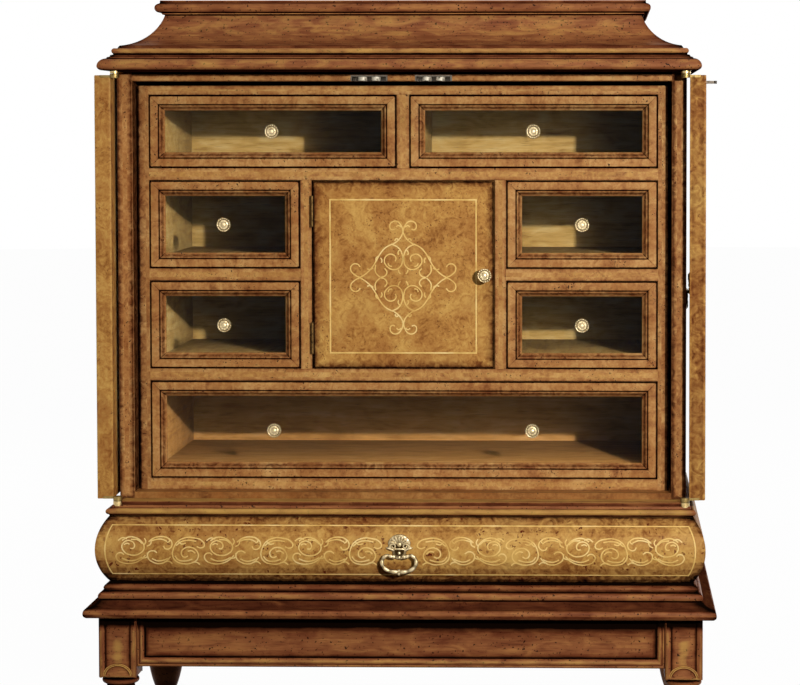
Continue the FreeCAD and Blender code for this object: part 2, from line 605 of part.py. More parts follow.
# Cornice and caddy top
cornice = moulded_board("cornice_board", "cornice_z", risen([
    ("0", 0), ("2", 0.8), ("cornice_torus - 6", 2), ("cornice_torus - 6", 16, "cornice_torus", 9),
    ("cornice_step", 16.4), ("cornice_step", 18), ("cornice_step - 3.5", 18.6),
    ("cornice_step - 3.5", 20.6), ("cornice_bead - 2", 21.2), ("cornice_bead - 2", 22.4),
    ("cornice_bead - 2.5", 29, "cornice_bead", 25.7)], "cornice_height"))
node(cut("pocketed_cornice", cornice, upper_pocket, mirrored("left_upper_pocket", upper_pocket)), "cornice")
cap_level = "caddy_height - cap_height"
cove = risen([("cove_foot + 2", 0), ("cove_foot", 3.5), ("cove_neck", 43, "cove_middle", 16.99)], cap_level)
cap = risen([
    ("cap_tip - 8", 0.6), ("cap_tip - 8", 2.4), ("cap_tip - 4", 3), ("cap_tip - 3", 13.5, "cap_tip", 8.5),
    ("cap_tip - 6", 14.5), ("cap_tip - 6", 18)], "cap_height", cap_level)
node(moulded_board("caddy_board", "caddy_z", cove + cap), "caddy_top")

# Nest: sides, floor, shelves and roof, with upright partitions
deep = ("nest_front", "nest_back")
inside = ("-nest_inner", "nest_inner")
nest_side = box("nest_right_side", ("nest_inner", "nest_half"), deep,
                ("nest_z", "nest_roof_z + nest_roof_thick"))
node(both_sides("nest_side_pair", nest_side), "nest_sides")
half_shelf = box("right_half_shelf", ("column_inner", "nest_inner"), deep, ("half_shelf_z", "upper_row_z"))
node(group(
    "nest_boards",
    box("nest_floor", inside, deep, ("nest_z", "bottom_row_z")),
    box("lower_shelf", inside, deep, ("lower_shelf_z", "lower_row_z")),
    half_shelf, mirrored("left_half_shelf", half_shelf),
    box("upper_shelf", inside, deep, ("upper_shelf_z", "top_row_z")),
    box("nest_roof", inside, deep, ("nest_roof_z", "nest_roof_z + nest_roof_thick"))), "nest_shelves")
partition = box("right_partition", ("cupboard_half", "column_inner"), deep, ("lower_row_z", "upper_shelf_z"))
node(group(
    "nest_uprights", partition, mirrored("left_partition", partition),
    box("top_divider", ("-divider_thick / 2", "divider_thick / 2"), deep, ("top_row_z", "nest_roof_z"))),
    "nest_partitions")


# Knobs: turned head, neck and flange on a stem, with a nut behind the glass
def knob(name, x, seat, z, stem, nut):
    """A knob towards -Y on a seat; the stem goes in as deep as stem, and a nut may end it."""
    tail = [("0", f"-({stem})"), ("stem_radius", f"-({stem})"), ("stem_radius", "0")]
    if nut:
        tail = [("0", f"-({stem}) - nut_thick"), ("nut_radius", f"-({stem}) - nut_thick"),
                ("nut_radius", f"-({stem})"), ("stem_radius", f"-({stem})"), ("stem_radius", "0")]
    item = turned(name, tail + [
        ("knob_flange_radius", "0"), ("knob_flange_radius", "knob_flange"),
        ("knob_neck_radius", "knob_length - knob_head",
         "0.75 * knob_neck_radius + 0.25 * knob_flange_radius",
         "(knob_flange + knob_length - knob_head) / 2"),
        ("knob_radius", "knob_length - knob_head / 2",
         "0.3 * knob_neck_radius + 0.7 * knob_radius", "knob_length - 0.85 * knob_head"),
        ("knob_tip_radius", "knob_length", "0.72 * knob_radius", "knob_length - 0.14 * knob_head"),
        ("0", "knob_length")])
    item.Placement = Placement(Vector(), Rotation(Vector(1, 0, 0), 90))
    return placed(item, x, seat, z)


# Nest drawers: framed glass front on a tray, run on the boards below
def drawer(name, x, z, knob_places):
    """A drawer for the opening between the places x and z, with knobs at the places given."""
    edge = (f"{x[0]} + drawer_gap", f"{x[1]} - drawer_gap")
    level = (f"{z[0]} + drawer_gap", f"{z[1]} - drawer_gap")

    def inset(by):
        return ((f"{edge[0]} + {by}", f"{edge[1]} - ({by})"), (f"{level[0]} + {by}", f"{level[1]} - ({by})"))

    blank = box(name + "_blank", edge, ("drawer_face", "front_back"), level)
    bevel = doc.addObject("Part::Wedge", name + "_bevel")
    wide, tall = inset("frame_flat")
    narrow, low = inset("frame_width")
    bound(bevel, Xmin=wide[0], Xmax=wide[1], Zmin=tall[0], Zmax=tall[1], Ymin="drawer_face",
          X2min=narrow[0], X2max=narrow[1], Z2min=low[0], Z2max=low[1], Ymax="glass_face")
    rebate_x, rebate_z = inset("frame_width - glass_rebate")
    rebate = box(name + "_rebate", rebate_x, ("glass_face", "front_back"), rebate_z)
    frame = cut(name + "_frame", blank, bevel, rebate)
    tray_x = (f"{edge[0]} + drawer_side_inset", f"{edge[1]} - drawer_side_inset")
    boards = tray(name, tray_x, ("front_back", "drawer_back"),
                  (f"{z[0]} + drawer_seat", f"{level[1]} - drawer_headroom"),
                  "drawer_side", f"{z[0]} + drawer_floor", "drawer_floor_thick", "drawer_side")
    node(group(name + "_boards", frame, *boards), name)

    pane_x, pane_z = inset("frame_width - glass_rebate + glass_play")
    pane = box(name + "_pane", pane_x, ("glass_face", "glass_face + glass_thick"), pane_z)
    knob_z = f"({z[0]} + {z[1]}) / 2"
    knobs = []
    holes = []
    for number_of, place in enumerate(knob_places):
        knobs.append(knob(f"{name}_knob_{number_of}", place, "glass_face", knob_z, "glass_thick", True))
        holes.append(cylinder(f"{name}_hole_{number_of}", "stem_radius + stem_play", "glass_thick", "y",
                              place, "glass_face + glass_thick", knob_z))
    node(cut(name + "_bored_pane", pane, *holes), name + "_glass")
    if len(knobs) == 1:
        node(knobs[0], name + "_knob")
    else:
        node(group(name + "_knob_pair", *knobs), name + "_knobs")


top_levels = ("top_row_z", "nest_roof_z")
upper_levels = ("upper_row_z", "upper_shelf_z")
lower_levels = ("lower_row_z", "half_shelf_z")
right_column = ("column_inner", "nest_inner")
left_column = ("-nest_inner", "-column_inner")
for name, run, levels in (
        ("top_left_drawer", ("-nest_inner", "-divider_thick / 2"), top_levels),
        ("top_right_drawer", ("divider_thick / 2", "nest_inner"), top_levels),
        ("upper_left_drawer", left_column, upper_levels), ("upper_right_drawer", right_column, upper_levels),
        ("lower_left_drawer", left_column, lower_levels), ("lower_right_drawer", right_column, lower_levels)):
    drawer(name, run, levels, [f"({run[0]} + {run[1]}) / 2"])
drawer("bottom_drawer", inside, ("bottom_row_z", "lower_shelf_z"),
       ["-bottom_knob_offset", "bottom_knob_offset"])

# Cupboard door in the middle of the nest, with its knob
door_knob_x = "cupboard_half - drawer_gap - door_knob_inset"
cupboard_middle = "(lower_row_z + upper_shelf_z) / 2"
panel = box("cupboard_door_board", ("-cupboard_half + cupboard_hinge_gap", "cupboard_half - drawer_gap"),
            ("drawer_face", "drawer_face + cupboard_door_thick"),
            ("lower_row_z + drawer_gap", "upper_shelf_z - drawer_gap"))
stem_hole = cylinder("cupboard_stem_hole", "stem_radius", "door_stem_length", "y",
                     door_knob_x, "drawer_face + door_stem_length", cupboard_middle)
node(cut("cupboard_bored_door", panel, stem_hole), "cupboard_door")
node(knob("cupboard_knob", door_knob_x, "drawer_face", cupboard_middle, "door_stem_length", False),
     "cupboard_door_knob")


# Butt hinges of the cupboard door: leaves in the hinge gap, three knuckles and a pin
def butt_hinge(name, bottom):
    """The fixed and the moving leaf of one butt hinge that starts at the place bottom."""
    third = "butt_length / 3"
    face = "butt_y + butt_barrel_forward"
    half_gap = "cupboard_hinge_gap / 2"
    sides = {"fixed": (f"butt_x - {half_gap}", f"butt_x - {half_gap} + butt_leaf_thick"),
             "moving": (f"butt_x + {half_gap} - butt_leaf_thick", f"butt_x + {half_gap}")}
    knuckles = {"fixed": [(bottom, third), (f"{bottom} + 2 * {third}", third)],
                "moving": [(f"{bottom} + {third} + butt_knuckle_gap", f"{third} - 2 * butt_knuckle_gap")]}
    leaves = {}
    for kind, run in sides.items():
        pieces = [box(f"{name}_{kind}_leaf", run, (face, f"{face} + butt_leaf_width"),
                      (bottom, f"{bottom} + butt_length"))]
        for count, (start, length) in enumerate(knuckles[kind]):
            pieces.append(cylinder(f"{name}_{kind}_knuckle_{count}", "butt_barrel_radius", length, "z",
                                   "butt_x", "butt_y", start))
            pieces.append(box(f"{name}_{kind}_tab_{count}", run, ("butt_y", face),
                              (start, f"{start} + {length}")))
        leaves[kind] = fuse(f"{name}_{kind}_blank", *pieces)
    pin = cylinder(f"{name}_pin", "butt_pin_radius", "butt_length", "z", "butt_x", "butt_y", bottom)
    bore = cylinder(f"{name}_bore", "butt_pin_radius + butt_play", "butt_length", "z",
                    "butt_x", "butt_y", bottom)
    return fuse(f"{name}_fixed", leaves["fixed"], pin), cut(f"{name}_moving", leaves["moving"], bore)


butts = [butt_hinge("lower_butt", "lower_row_z + butt_inset - butt_length / 2"),
         butt_hinge("upper_butt", "upper_shelf_z - butt_inset - butt_length / 2")]
node(group("fixed_butts", *[fixed for fixed, moving in butts]), "cupboard_hinge_fixed_leaves")
node(group("moving_butts", *[moving for fixed, moving in butts]), "cupboard_hinge_moving_leaves")

# Main doors, built shut on the right, then turned open about the pivot
strike_x = "catch_offset"
strike_levels = ("strike_z", "strike_z + strike_height")
strike_plate = box("strike_plate", (f"{strike_x} - strike_plate_half", f"{strike_x} + strike_plate_half"),
                   ("door_inside - strike_plate_thick", "door_inside"), strike_levels)
shoulder = "door_inside + strike_shoulder"
tip = "door_inside + strike_length"
spear = extruded("strike_spear", "XY", [
    (f"{strike_x} - strike_neck_half", "door_inside"), (f"{strike_x} + strike_neck_half", "door_inside"),
    (f"{strike_x} + strike_neck_half", shoulder),
    (f"{strike_x} + strike_head_half", f"{shoulder} + strike_barb"),
    (f"{strike_x} + strike_neck_half", tip), (f"{strike_x} - strike_neck_half", tip),
    (f"{strike_x} - strike_head_half", f"{shoulder} + strike_barb"),
    (f"{strike_x} - strike_neck_half", shoulder)],
    *strike_levels)
strike = fuse("strike", strike_plate, spear)
slab = box("door_slab", ("door_meeting_gap / 2", "pivot_half + door_overhang"),
           ("door_face", "door_inside"), ("door_z", "door_top"))
panel = cut("door_board", slab, upper_door_leaf, lower_door_leaf, strike_plate)
door_plate, door_bail = pull("door", "door_pull_x", "door_face", "door_pull_z")

pivot = Vector(number("pivot_half"), number("pivot_y"), 0)
swing = Placement(Vector(), Rotation(Vector(0, 0, 1), number("door_open_angle")), pivot)
for part_name, pieces in (("door", [panel]), ("door_hinge_leaves", [upper_door_leaf, lower_door_leaf]),
                          ("door_strike", [strike]), ("door_pull_plate", [door_plate]),
                          ("door_bail", [door_bail])):
    opened = group("open_" + part_name, *pieces)
    opened.Placement = swing
    node(opened, "right_" + part_name)
    node(mirrored("open_left_" + part_name, opened), "left_" + part_name)

# Build, check and write
doc.recompute()
for item in doc.Objects:
    faults = {"Invalid", "Error"} & set(item.State)
    if faults:
        raise RuntimeError(f"{item.Label} failed: {item.getStatusString()}")
os.makedirs("parts", exist_ok=True)
for item in nodes:
    if item.Shape.isNull() or not item.Shape.isValid() or not item.Shape.Solids:
        raise RuntimeError(f"{item.Label} has no valid solid")
for item in nodes:
    item.Shape.exportStep(f"parts/{item.Label}.step")
print(f"{len(nodes)} nodes, {sum(len(item.Shape.Solids) for item in nodes)} solids")
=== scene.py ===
# %% [markdown]
# # Cabinet on a stand
# The imported model is loaded as a fixed frame of wood, metal and glass solids. Every cell below dresses
# one group of its pieces: the solids give the places, and Blender adds the veneer, the inlay, the worn
# mouldings with their painted shade, and the light.

# %% Load the frame
import math

import bmesh
import bpy
import numpy as np
from mathutils import Matrix, Vector


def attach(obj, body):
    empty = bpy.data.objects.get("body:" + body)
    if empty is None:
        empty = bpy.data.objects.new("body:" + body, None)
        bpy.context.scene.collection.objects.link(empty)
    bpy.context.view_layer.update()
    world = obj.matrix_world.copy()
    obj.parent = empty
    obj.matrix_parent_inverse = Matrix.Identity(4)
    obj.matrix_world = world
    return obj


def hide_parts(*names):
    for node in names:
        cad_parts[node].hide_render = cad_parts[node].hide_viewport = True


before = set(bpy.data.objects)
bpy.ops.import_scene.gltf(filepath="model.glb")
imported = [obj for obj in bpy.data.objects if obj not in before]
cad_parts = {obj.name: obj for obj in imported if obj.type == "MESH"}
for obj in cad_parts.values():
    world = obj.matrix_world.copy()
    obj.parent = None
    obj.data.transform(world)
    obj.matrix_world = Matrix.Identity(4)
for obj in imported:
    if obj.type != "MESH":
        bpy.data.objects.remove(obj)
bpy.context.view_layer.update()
scene = bpy.context.scene
MM = 0.001

# %% [markdown]
# ## Camera
# The photograph looks at the case square on, from a little right of the middle and from the height of
# the top drawers. Most of the offset is a turn of the camera, and a small lens shift keeps the uprights
# upright.

# %% Camera
IMAGE_WIDTH = 800
FOCAL_PIXELS = 2685.5
LENS_SHIFT = (-0.18, -0.10)
CAMERA_PLACE = (0.2511, -3.472, 0.7807)
CAMERA_DOWN, CAMERA_LEFT = 0.0506, 0.0222
camera_data = bpy.data.cameras.new("camera")
camera_data.sensor_width = 36.0
camera_data.lens = FOCAL_PIXELS / IMAGE_WIDTH * camera_data.sensor_width
camera_data.shift_x, camera_data.shift_y = LENS_SHIFT
camera = bpy.data.objects.new("camera", camera_data)
camera.location = CAMERA_PLACE
camera.rotation_euler = (math.pi / 2 - CAMERA_DOWN, 0.0, CAMERA_LEFT)
scene.collection.objects.link(camera)
scene.camera = camera
print("lens:", round(camera_data.lens, 1), "mm")

# %% [markdown]
# ## Nodes and colours
# One function turns hex colours into Blender's linear values. Another
# adds a node, sets it and links it, so that a material reads as a list of its layers. A pattern's scale
# is worked out from its real size in millimetres.


# %% Material helpers
def linear(code):
    """An sRGB hex colour as a linear RGBA value."""
    channels = [int(code[place:place + 2], 16) / 255 for place in (1, 3, 5)]
    return [c / 12.92 if c <= 0.04045 else ((c + 0.055) / 1.055) ** 2.4 for c in channels] + [1.0]


def result_of(node):
    """The output that a node's settings leave in use."""
    return next(output for output in node.outputs if output.enabled)


def add(tree, kind, inputs=None, stops=(), **settings):
    """Add a node: set it, then fill its inputs with values, hex colours, sockets or other nodes."""
    node = tree.nodes.new(kind)
    for key, value in settings.items():
        setattr(node, key, value)
    for key, value in (inputs or {}).items():
        if isinstance(value, bpy.types.Node):
            value = result_of(value)
        if isinstance(value, bpy.types.NodeSocket):
            tree.links.new(value, node.inputs[key])
        else:
            node.inputs[key].default_value = linear(value) if isinstance(value, str) else value
    for place, _ in stops[2:]:
        node.color_ramp.elements.new(place)
    for element, (place, code) in zip(node.color_ramp.elements if stops else (), stops):
        element.position = place
        element.color = linear(code)
    return node


def per_mm(size):
    """The scale at which a pattern's marks are about this many millimetres across."""
    return 1000.0 / size


def new_finish(name, specular=0.06):
    """An empty material with its shader, the object's coordinates and each leaf's own number."""
    material = bpy.data.materials.new(name)
    material.use_nodes = True
    tree = material.node_tree
    tree.nodes.clear()
    shader = add(tree, "ShaderNodeBsdfPrincipled", {"Specular IOR Level": specular})
    add(tree, "ShaderNodeOutputMaterial", {"Surface": shader})
    place = add(tree, "ShaderNodeTexCoord").outputs["Object"]
    leaf = add(tree, "ShaderNodeAttribute", attribute_name="sheet").outputs["Fac"]
    return material, tree, shader, place, leaf


BUMP_DEPTH = 0.0006


def coat(tree, shader, colour, gloss, height, bump, rough):
    """Wire a colour, a roughness that follows gloss, and a bump into the shader."""
    roughness = add(tree, "ShaderNodeMapRange", {
        "Value": gloss, "From Min": 0.3, "From Max": 0.7, "To Min": rough[0], "To Max": rough[1]})
    normal = add(tree, "ShaderNodeBump", {"Height": height, "Strength": bump, "Distance": BUMP_DEPTH})
    for name, node in (("Base Color", colour), ("Roughness", roughness), ("Normal", normal)):
        tree.links.new(result_of(node), shader.inputs[name])


# %% [markdown]
# ## Painted shade and wear
# Each mesh carries an attribute called relief: 0.5 on a flat, less in a groove and more on a crest. From
# it the colour takes painted shade, nearly black in grooves, gaps and undersides, together with the dark
# umber glaze that the maker wiped over the wood; crests are worn to gold, with a painted highlight, where
# the glaze was rubbed off the high places. That keeps the shade and wear with the shape in every view,
# and costs nothing to render.

# %% Painted shade and wear shared by the woods
# Each wash: the relief at which it starts and is full, how much of it there is, and its colour. The gold
# is wear with a painted highlight on crests; the brown and the near black are painted shade, with glaze,
# in grooves, gaps and undersides.
WORN_GOLD_AND_HIGHLIGHT = (0.54, 0.68, "#c99f50")
BROWN_SHADE_AND_GLAZE = (0.5, 0.34, 0.75, "#522113")
BLACK_PAINTED_SHADE = (0.38, 0.24, 1.0, "#0e0603")
# The wood shines where the painted shade and glaze are thin: from and to a relief, and the most shine.
SHINE = (0.36, 0.58, 0.09)


def painted_shade_and_wear(tree, shader, colour, uneven, spread, wear):
    """Paint shade, with glaze, into a colour where the relief attribute is low, and wear with a painted
    highlight where it is high, broken up by an uneven value.
    """
    relief = add(tree, "ShaderNodeAttribute", attribute_name="relief").outputs["Fac"]
    wobble = add(tree, "ShaderNodeMath", {0: uneven, 1: spread, 2: -spread / 2}, operation="MULTIPLY_ADD")
    level = add(tree, "ShaderNodeMath", {0: relief, 1: wobble}, operation="ADD")
    shine = add(tree, "ShaderNodeMapRange", {
        "Value": level, "From Min": SHINE[0], "From Max": SHINE[1], "To Min": 0.0, "To Max": SHINE[2]})
    tree.links.new(result_of(shine), shader.inputs["Specular IOR Level"])
    gold_start, gold_full, gold = WORN_GOLD_AND_HIGHLIGHT
    for start, full, most, wash in ((gold_start, gold_full, wear, gold), BROWN_SHADE_AND_GLAZE, BLACK_PAINTED_SHADE):
        amount = add(tree, "ShaderNodeMapRange", {
            "Value": level, "From Min": start, "From Max": full, "To Min": 0.0, "To Max": most})
        colour = add(tree, "ShaderNodeMix", {0: amount, 6: colour, 7: wash}, data_type="RGBA")
    return colour


# %% [markdown]
# ## Burl veneer
# Walnut and ash burl grow as knotted swirls, sliced thin and laid as veneer: cloudy gold with brown
# swirls some 10 mm wide and dark pin knots of 1 to 4 mm in clusters, lacquered to a satin. Rails and
# frames are cross-banded, so a ripple runs across them. Noise at those sizes gives the clouds, swirls,
# ripple and knots, and a fourth noise coordinate gives every leaf of veneer its own figure.

# %% Burl veneer
# Each layer of the figure: the size of its marks in millimetres, detail, distortion.
BURL_LAYERS = {"clouds": (52, 3.0, 0.7), "swirls": (15, 6.0, 2.4), "fine": (2.4, 3.0, 0.4),
               "groups": (36, 2.0, 0.0), "heart": (75, 4.0, 1.2)}
RIPPLE_WIDTH, RIPPLE_LENGTH = 13, 90
HEARTWOOD = "#8f5729"


def burl(name, dark, middle, light, banding, fleck, shade_and_wear=True):
    """Satin burl veneer under painted shade, glaze and wear; fleck is the pin knots' size in mm, colour and
    rarity.
    """
    material, tree, shader, place, leaf = new_finish(name)
    fleck_size, fleck_colour, rarity = fleck
    noise = {}
    for layer, (size, detail, bend) in {**BURL_LAYERS, "spots": (fleck_size, 1.0, 0.0)}.items():
        noise[layer] = add(tree, "ShaderNodeTexNoise", {
            "Vector": place, "W": leaf, "Scale": per_mm(size), "Detail": detail, "Distortion": bend},
            noise_dimensions="4D")
    run = add(tree, "ShaderNodeMapping", {
        "Vector": add(tree, "ShaderNodeUVMap", uv_map="run"),
        "Scale": (per_mm(RIPPLE_WIDTH), per_mm(RIPPLE_LENGTH), 1.0)})
    ripple = add(tree, "ShaderNodeTexNoise", {
        "Vector": run, "W": leaf, "Scale": 1.0, "Detail": 3.0, "Distortion": 0.8}, noise_dimensions="4D")
    figure = add(tree, "ShaderNodeMix", {0: 0.42, 2: noise["clouds"], 3: noise["swirls"]})
    figure = add(tree, "ShaderNodeMix", {0: banding, 2: figure, 3: ripple})
    figure = add(tree, "ShaderNodeMix", {0: 0.2, 2: figure, 3: noise["fine"]})
    colour = add(tree, "ShaderNodeValToRGB", {"Fac": figure}, ((0.37, dark), (0.49, middle), (0.62, light)))
    heart = add(tree, "ShaderNodeMapRange", {
        "Value": noise["heart"], "From Min": 0.46, "From Max": 0.68, "To Min": 0.0, "To Max": 0.6})
    colour = add(tree, "ShaderNodeMix", {0: heart, 6: colour, 7: HEARTWOOD}, data_type="RGBA")
    spots = add(tree, "ShaderNodeMapRange", {
        "Value": noise["spots"], "From Min": rarity, "From Max": rarity + 0.06})
    groups = add(tree, "ShaderNodeMapRange", {"Value": noise["groups"], "From Min": 0.46, "From Max": 0.58})
    knots = add(tree, "ShaderNodeMath", {0: spots, 1: groups}, operation="MULTIPLY")
    colour = add(tree, "ShaderNodeMix", {0: knots, 6: colour, 7: fleck_colour}, data_type="RGBA")
    # Painted shade, glaze and wear by the relief attribute.
    if shade_and_wear:
        colour = painted_shade_and_wear(tree, shader, colour, noise["swirls"], 0.3, 0.5)
    coat(tree, shader, colour, noise["swirls"], noise["fine"], 0.12, (0.4, 0.55))
    return material


# All veneers but the plain one take painted shade, glaze and wear from the relief attribute.
veneer = burl("shaded_antiqued_burl_veneer", "#7d4a27", "#a87441", "#c3975c", 0.35, (2.4, "#3c2010", 0.62))
panel_veneer = burl("golden_burl_panel", "#824f21", "#ad7a3c", "#c49850", 0.0, (2.2, "#6b3f1c", 0.64))
bombe_veneer = burl("shaded_distressed_burl_panel", "#8a5624", "#b28140", "#c89d55", 0.0, (4.2, "#591d0c", 0.61))
plain_veneer = burl("plain_burl_veneer", "#5f3518", "#85562b", "#a1733e", 0.0, (2.8, "#2c150a", 0.66),
                    shade_and_wear=False)
print("veneers:", veneer.name, panel_veneer.name, bombe_veneer.name, plain_veneer.name)

# %% [markdown]
# ## Solid walnut and oak
# The mouldings, legs and aprons are solid walnut, planed along the grain: long streaks, a few
# millimetres wide and many centimetres long, under the same painted shade, glaze and wear. The drawer
# linings are oak, with long pores and no painted shade or glaze. The streaks follow a UV map in metres
# whose U runs along the grain, so they turn the corners with the mouldings.

# %% Walnut and oak
WORM_MARKS = "#1e0d06"
SHADED_OAK = "#3a2715"


def grained(name, dark, middle, light, streak, pore, shade_and_wear=True):
    """Straight-grained wood along the U of the run map; streak is its streaks' width in millimetres."""
    material, tree, shader, place, leaf = new_finish(name)
    run = add(tree, "ShaderNodeUVMap", uv_map="run")
    # Each layer: the width and length of its marks in millimetres, detail, distortion.
    sizes = ((3 * streak, 34 * streak, 2.0, 1.6), (streak, 22 * streak, 4.0, 0.8), (15, 34, 5.0, 1.0),
             (0.9, 15, 1.0, 0.0))
    layers = []
    for width, length, detail, bend in sizes:
        mapped = add(tree, "ShaderNodeMapping", {
            "Vector": run, "Scale": (per_mm(length), per_mm(width), 1.0)})
        layers.append(add(tree, "ShaderNodeTexNoise", {
            "Vector": mapped, "W": leaf, "Scale": 1.0, "Detail": detail, "Distortion": bend},
            noise_dimensions="4D"))
    bands, streaks, blotches, pores = layers
    figure = add(tree, "ShaderNodeMix", {0: 0.45, 2: bands, 3: streaks})
    figure = add(tree, "ShaderNodeMix", {0: 0.45, 2: figure, 3: blotches})
    colour = add(tree, "ShaderNodeValToRGB", {"Fac": figure}, ((0.36, dark), (0.5, middle), (0.64, light)))
    pores = add(tree, "ShaderNodeMapRange", {
        "Value": pores, "From Min": 0.6, "From Max": 0.72, "To Min": 0.0, "To Max": 0.5})
    colour = add(tree, "ShaderNodeMix", {0: pores, 6: colour, 7: pore}, data_type="RGBA")
    # Worm marks, then painted shade, glaze and wear by the relief attribute.
    if shade_and_wear:
        # Old knocks and worm marks of 1 to 3 mm, filled with glaze.
        marks = add(tree, "ShaderNodeTexNoise", {
            "Vector": place, "W": leaf, "Scale": per_mm(2.6), "Detail": 1.0}, noise_dimensions="4D")
        marks = add(tree, "ShaderNodeMapRange", {"Value": marks, "From Min": 0.64, "From Max": 0.7})
        colour = add(tree, "ShaderNodeMix", {0: marks, 6: colour, 7: WORM_MARKS}, data_type="RGBA")
        colour = painted_shade_and_wear(tree, shader, colour, blotches, 0.17, 0.85)
    else:
        # Light that has bounced once meets a darker wood, so that the drawers keep their deep shadows.
        bounced = add(tree, "ShaderNodeLightPath").outputs["Is Diffuse Ray"]
        colour = add(tree, "ShaderNodeMix", {0: bounced, 6: colour, 7: SHADED_OAK}, data_type="RGBA")
    height = add(tree, "ShaderNodeMath", {0: streaks, 1: pores}, operation="SUBTRACT")
    coat(tree, shader, colour, streaks, height, 0.14, (0.38, 0.52))
    return material


# The walnut takes painted shade, glaze and wear from the relief attribute; the oaks don't.
walnut = grained("shaded_glazed_walnut", "#6a3820", "#88522f", "#a06a3a", 3.0, "#2b140a")
oak = grained("drawer_oak", "#ad8140", "#d6ab5f", "#e6c37f", 4.5, "#6d4f2a", shade_and_wear=False)
warm_oak = grained("warm_drawer_oak", "#ad7335", "#d6984f", "#e6ad69", 4.5, "#6d4726", shade_and_wear=False)
print("solid woods:", walnut.name, oak.name, warm_oak.name)

# %% [markdown]
# ## Boxwood, brass, steel and glass
# The stringing and scrolls are boxwood, a pale fine wood. The fittings are cast brass with a thin old
# patina that stays in the hollows, and the catches are dulled steel. The panes are float glass: seen
# square on they show next to no reflection. A glass shader would stop the lamps' light, so for shadow
# rays the pane turns clear.


# %% Boxwood, metals and glass
def fine_wood(name, dark, middle, light):
    """Pale close-grained wood with soft patches."""
    material, tree, shader, place, _ = new_finish(name)
    patches = add(tree, "ShaderNodeTexNoise", {"Vector": place, "Scale": per_mm(22), "Detail": 3.0})
    colour = add(tree, "ShaderNodeValToRGB", {"Fac": patches}, ((0.3, dark), (0.5, middle), (0.7, light)))
    coat(tree, shader, colour, patches, patches, 0.05, (0.38, 0.48))
    return material


def aged_metal(name, bright, worn, patina, rough, cast_relief=False):
    """Metal with a patina, in patches or, on a casting, where the relief attribute is low."""
    material, tree, shader, place, _ = new_finish(name, 0.5)
    cast = add(tree, "ShaderNodeTexNoise", {"Vector": place, "Scale": per_mm(4), "Detail": 4.0})
    grit = add(tree, "ShaderNodeTexNoise", {"Vector": place, "Scale": per_mm(0.8), "Detail": 2.0})
    colour = add(tree, "ShaderNodeValToRGB", {"Fac": cast}, ((0.3, worn), (0.65, bright)))
    low, start, full = cast, 0.42, 0.3
    if cast_relief:
        low = add(tree, "ShaderNodeAttribute", attribute_name="relief").outputs["Fac"]
        start, full = 0.55, 0.28
    stain = add(tree, "ShaderNodeMapRange", {"Value": low, "From Min": start, "From Max": full})
    colour = add(tree, "ShaderNodeMix", {0: stain, 6: colour, 7: patina}, data_type="RGBA")
    coat(tree, shader, colour, cast, grit, 0.1, rough)
    shader.inputs["Metallic"].default_value = 1.0
    return material


def window_glass(name):
    """Clear panes that let the lamps' light through."""
    material, tree, shader, place, _ = new_finish(name, 0.1)
    smear = add(tree, "ShaderNodeTexNoise", {"Vector": place, "Scale": per_mm(30), "Detail": 2.0})
    rough = add(tree, "ShaderNodeMapRange", {"Value": smear, "To Min": 0.0, "To Max": 0.02})
    tree.links.new(result_of(rough), shader.inputs["Roughness"])
    shader.inputs["Transmission Weight"].default_value = 1.0
    # Bloomed panes: far less mirror than plain glass at 1.5.
    shader.inputs["IOR"].default_value = 1.12
    clear = add(tree, "ShaderNodeBsdfTransparent")
    path = add(tree, "ShaderNodeLightPath")
    both = add(tree, "ShaderNodeMixShader", {0: path.outputs["Is Shadow Ray"], 1: shader, 2: clear})
    tree.links.new(both.outputs["Shader"], tree.nodes["Material Output"].inputs["Surface"])
    return material


boxwood = fine_wood("boxwood_inlay", "#c59a52", "#deb86c", "#e8ca88")
cast_brass = aged_metal("antique_cast_brass", "#d0bd95", "#a58f66", "#33240f", (0.46, 0.34), True)
hinge_brass = aged_metal("rolled_hinge_brass", "#d2b983", "#a98a52", "#5a4420", (0.4, 0.28))
door_brass = aged_metal("dulled_door_brass", "#8e7748", "#6b5731", "#33260f", (0.5, 0.36))
hinge_bronze = aged_metal("tarnished_hinge_bronze", "#5c4526", "#3d2c17", "#1a1108", (0.5, 0.36))
catch_steel = aged_metal("dulled_catch_steel", "#5e564c", "#423b33", "#1c1814", (0.5, 0.38))
roller_steel = aged_metal("brushed_roller_steel", "#cfc7b6", "#aea591", "#5c5344", (0.78, 0.66))
glass = window_glass("float_glass")
print("inlay and fittings:", boxwood.name, cast_brass.name, hinge_brass.name, catch_steel.name, glass.name)

# %% [markdown]
# ## Rings of points
# Nearly every piece here is a stack of rings: a moulding is a stack of rectangles that grow and shrink
# with its profile, a drawer front is a nest of rectangles stepping inwards, and a turned foot is a stack
# of circles. One small class joins such rings into a closed mesh, in millimetres, with its relief, its
# grain map and its veneer.


# %% Mesh helpers
def round_angles(count):
    """Angles evenly spread round a circle."""
    return [2 * math.pi * i / count for i in range(count)]


def outward(mesh):
    """Turn every face of a closed mesh outwards."""
    shell = bmesh.new()
    shell.from_mesh(mesh)
    bmesh.ops.recalc_face_normals(shell, faces=shell.faces)
    shell.to_mesh(mesh)
    shell.free()


SHARP_DEGREES = 34


def dress(mesh, name, material, body, slot, *replaced):
    """Give a finished mesh its object, finish and body."""
    mesh.materials.clear()
    mesh.materials.append(material)
    mesh.shade_smooth()
    mesh.set_sharp_from_angle(angle=math.radians(SHARP_DEGREES))
    obj = bpy.data.objects.new(name, mesh)
    scene.collection.objects.link(obj)
    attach(obj, body)
    if replaced:
        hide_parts(*replaced)
    return obj


# %% Piece builder
# Sides of a ring closer in direction than this are one board, and each board has its own streaks.
SAME_WAY = 0.9
BOARD_GAP = 310
# The two ends of a loft are leaves of their own.
START_LEAF, END_LEAF = 0.11, 0.23


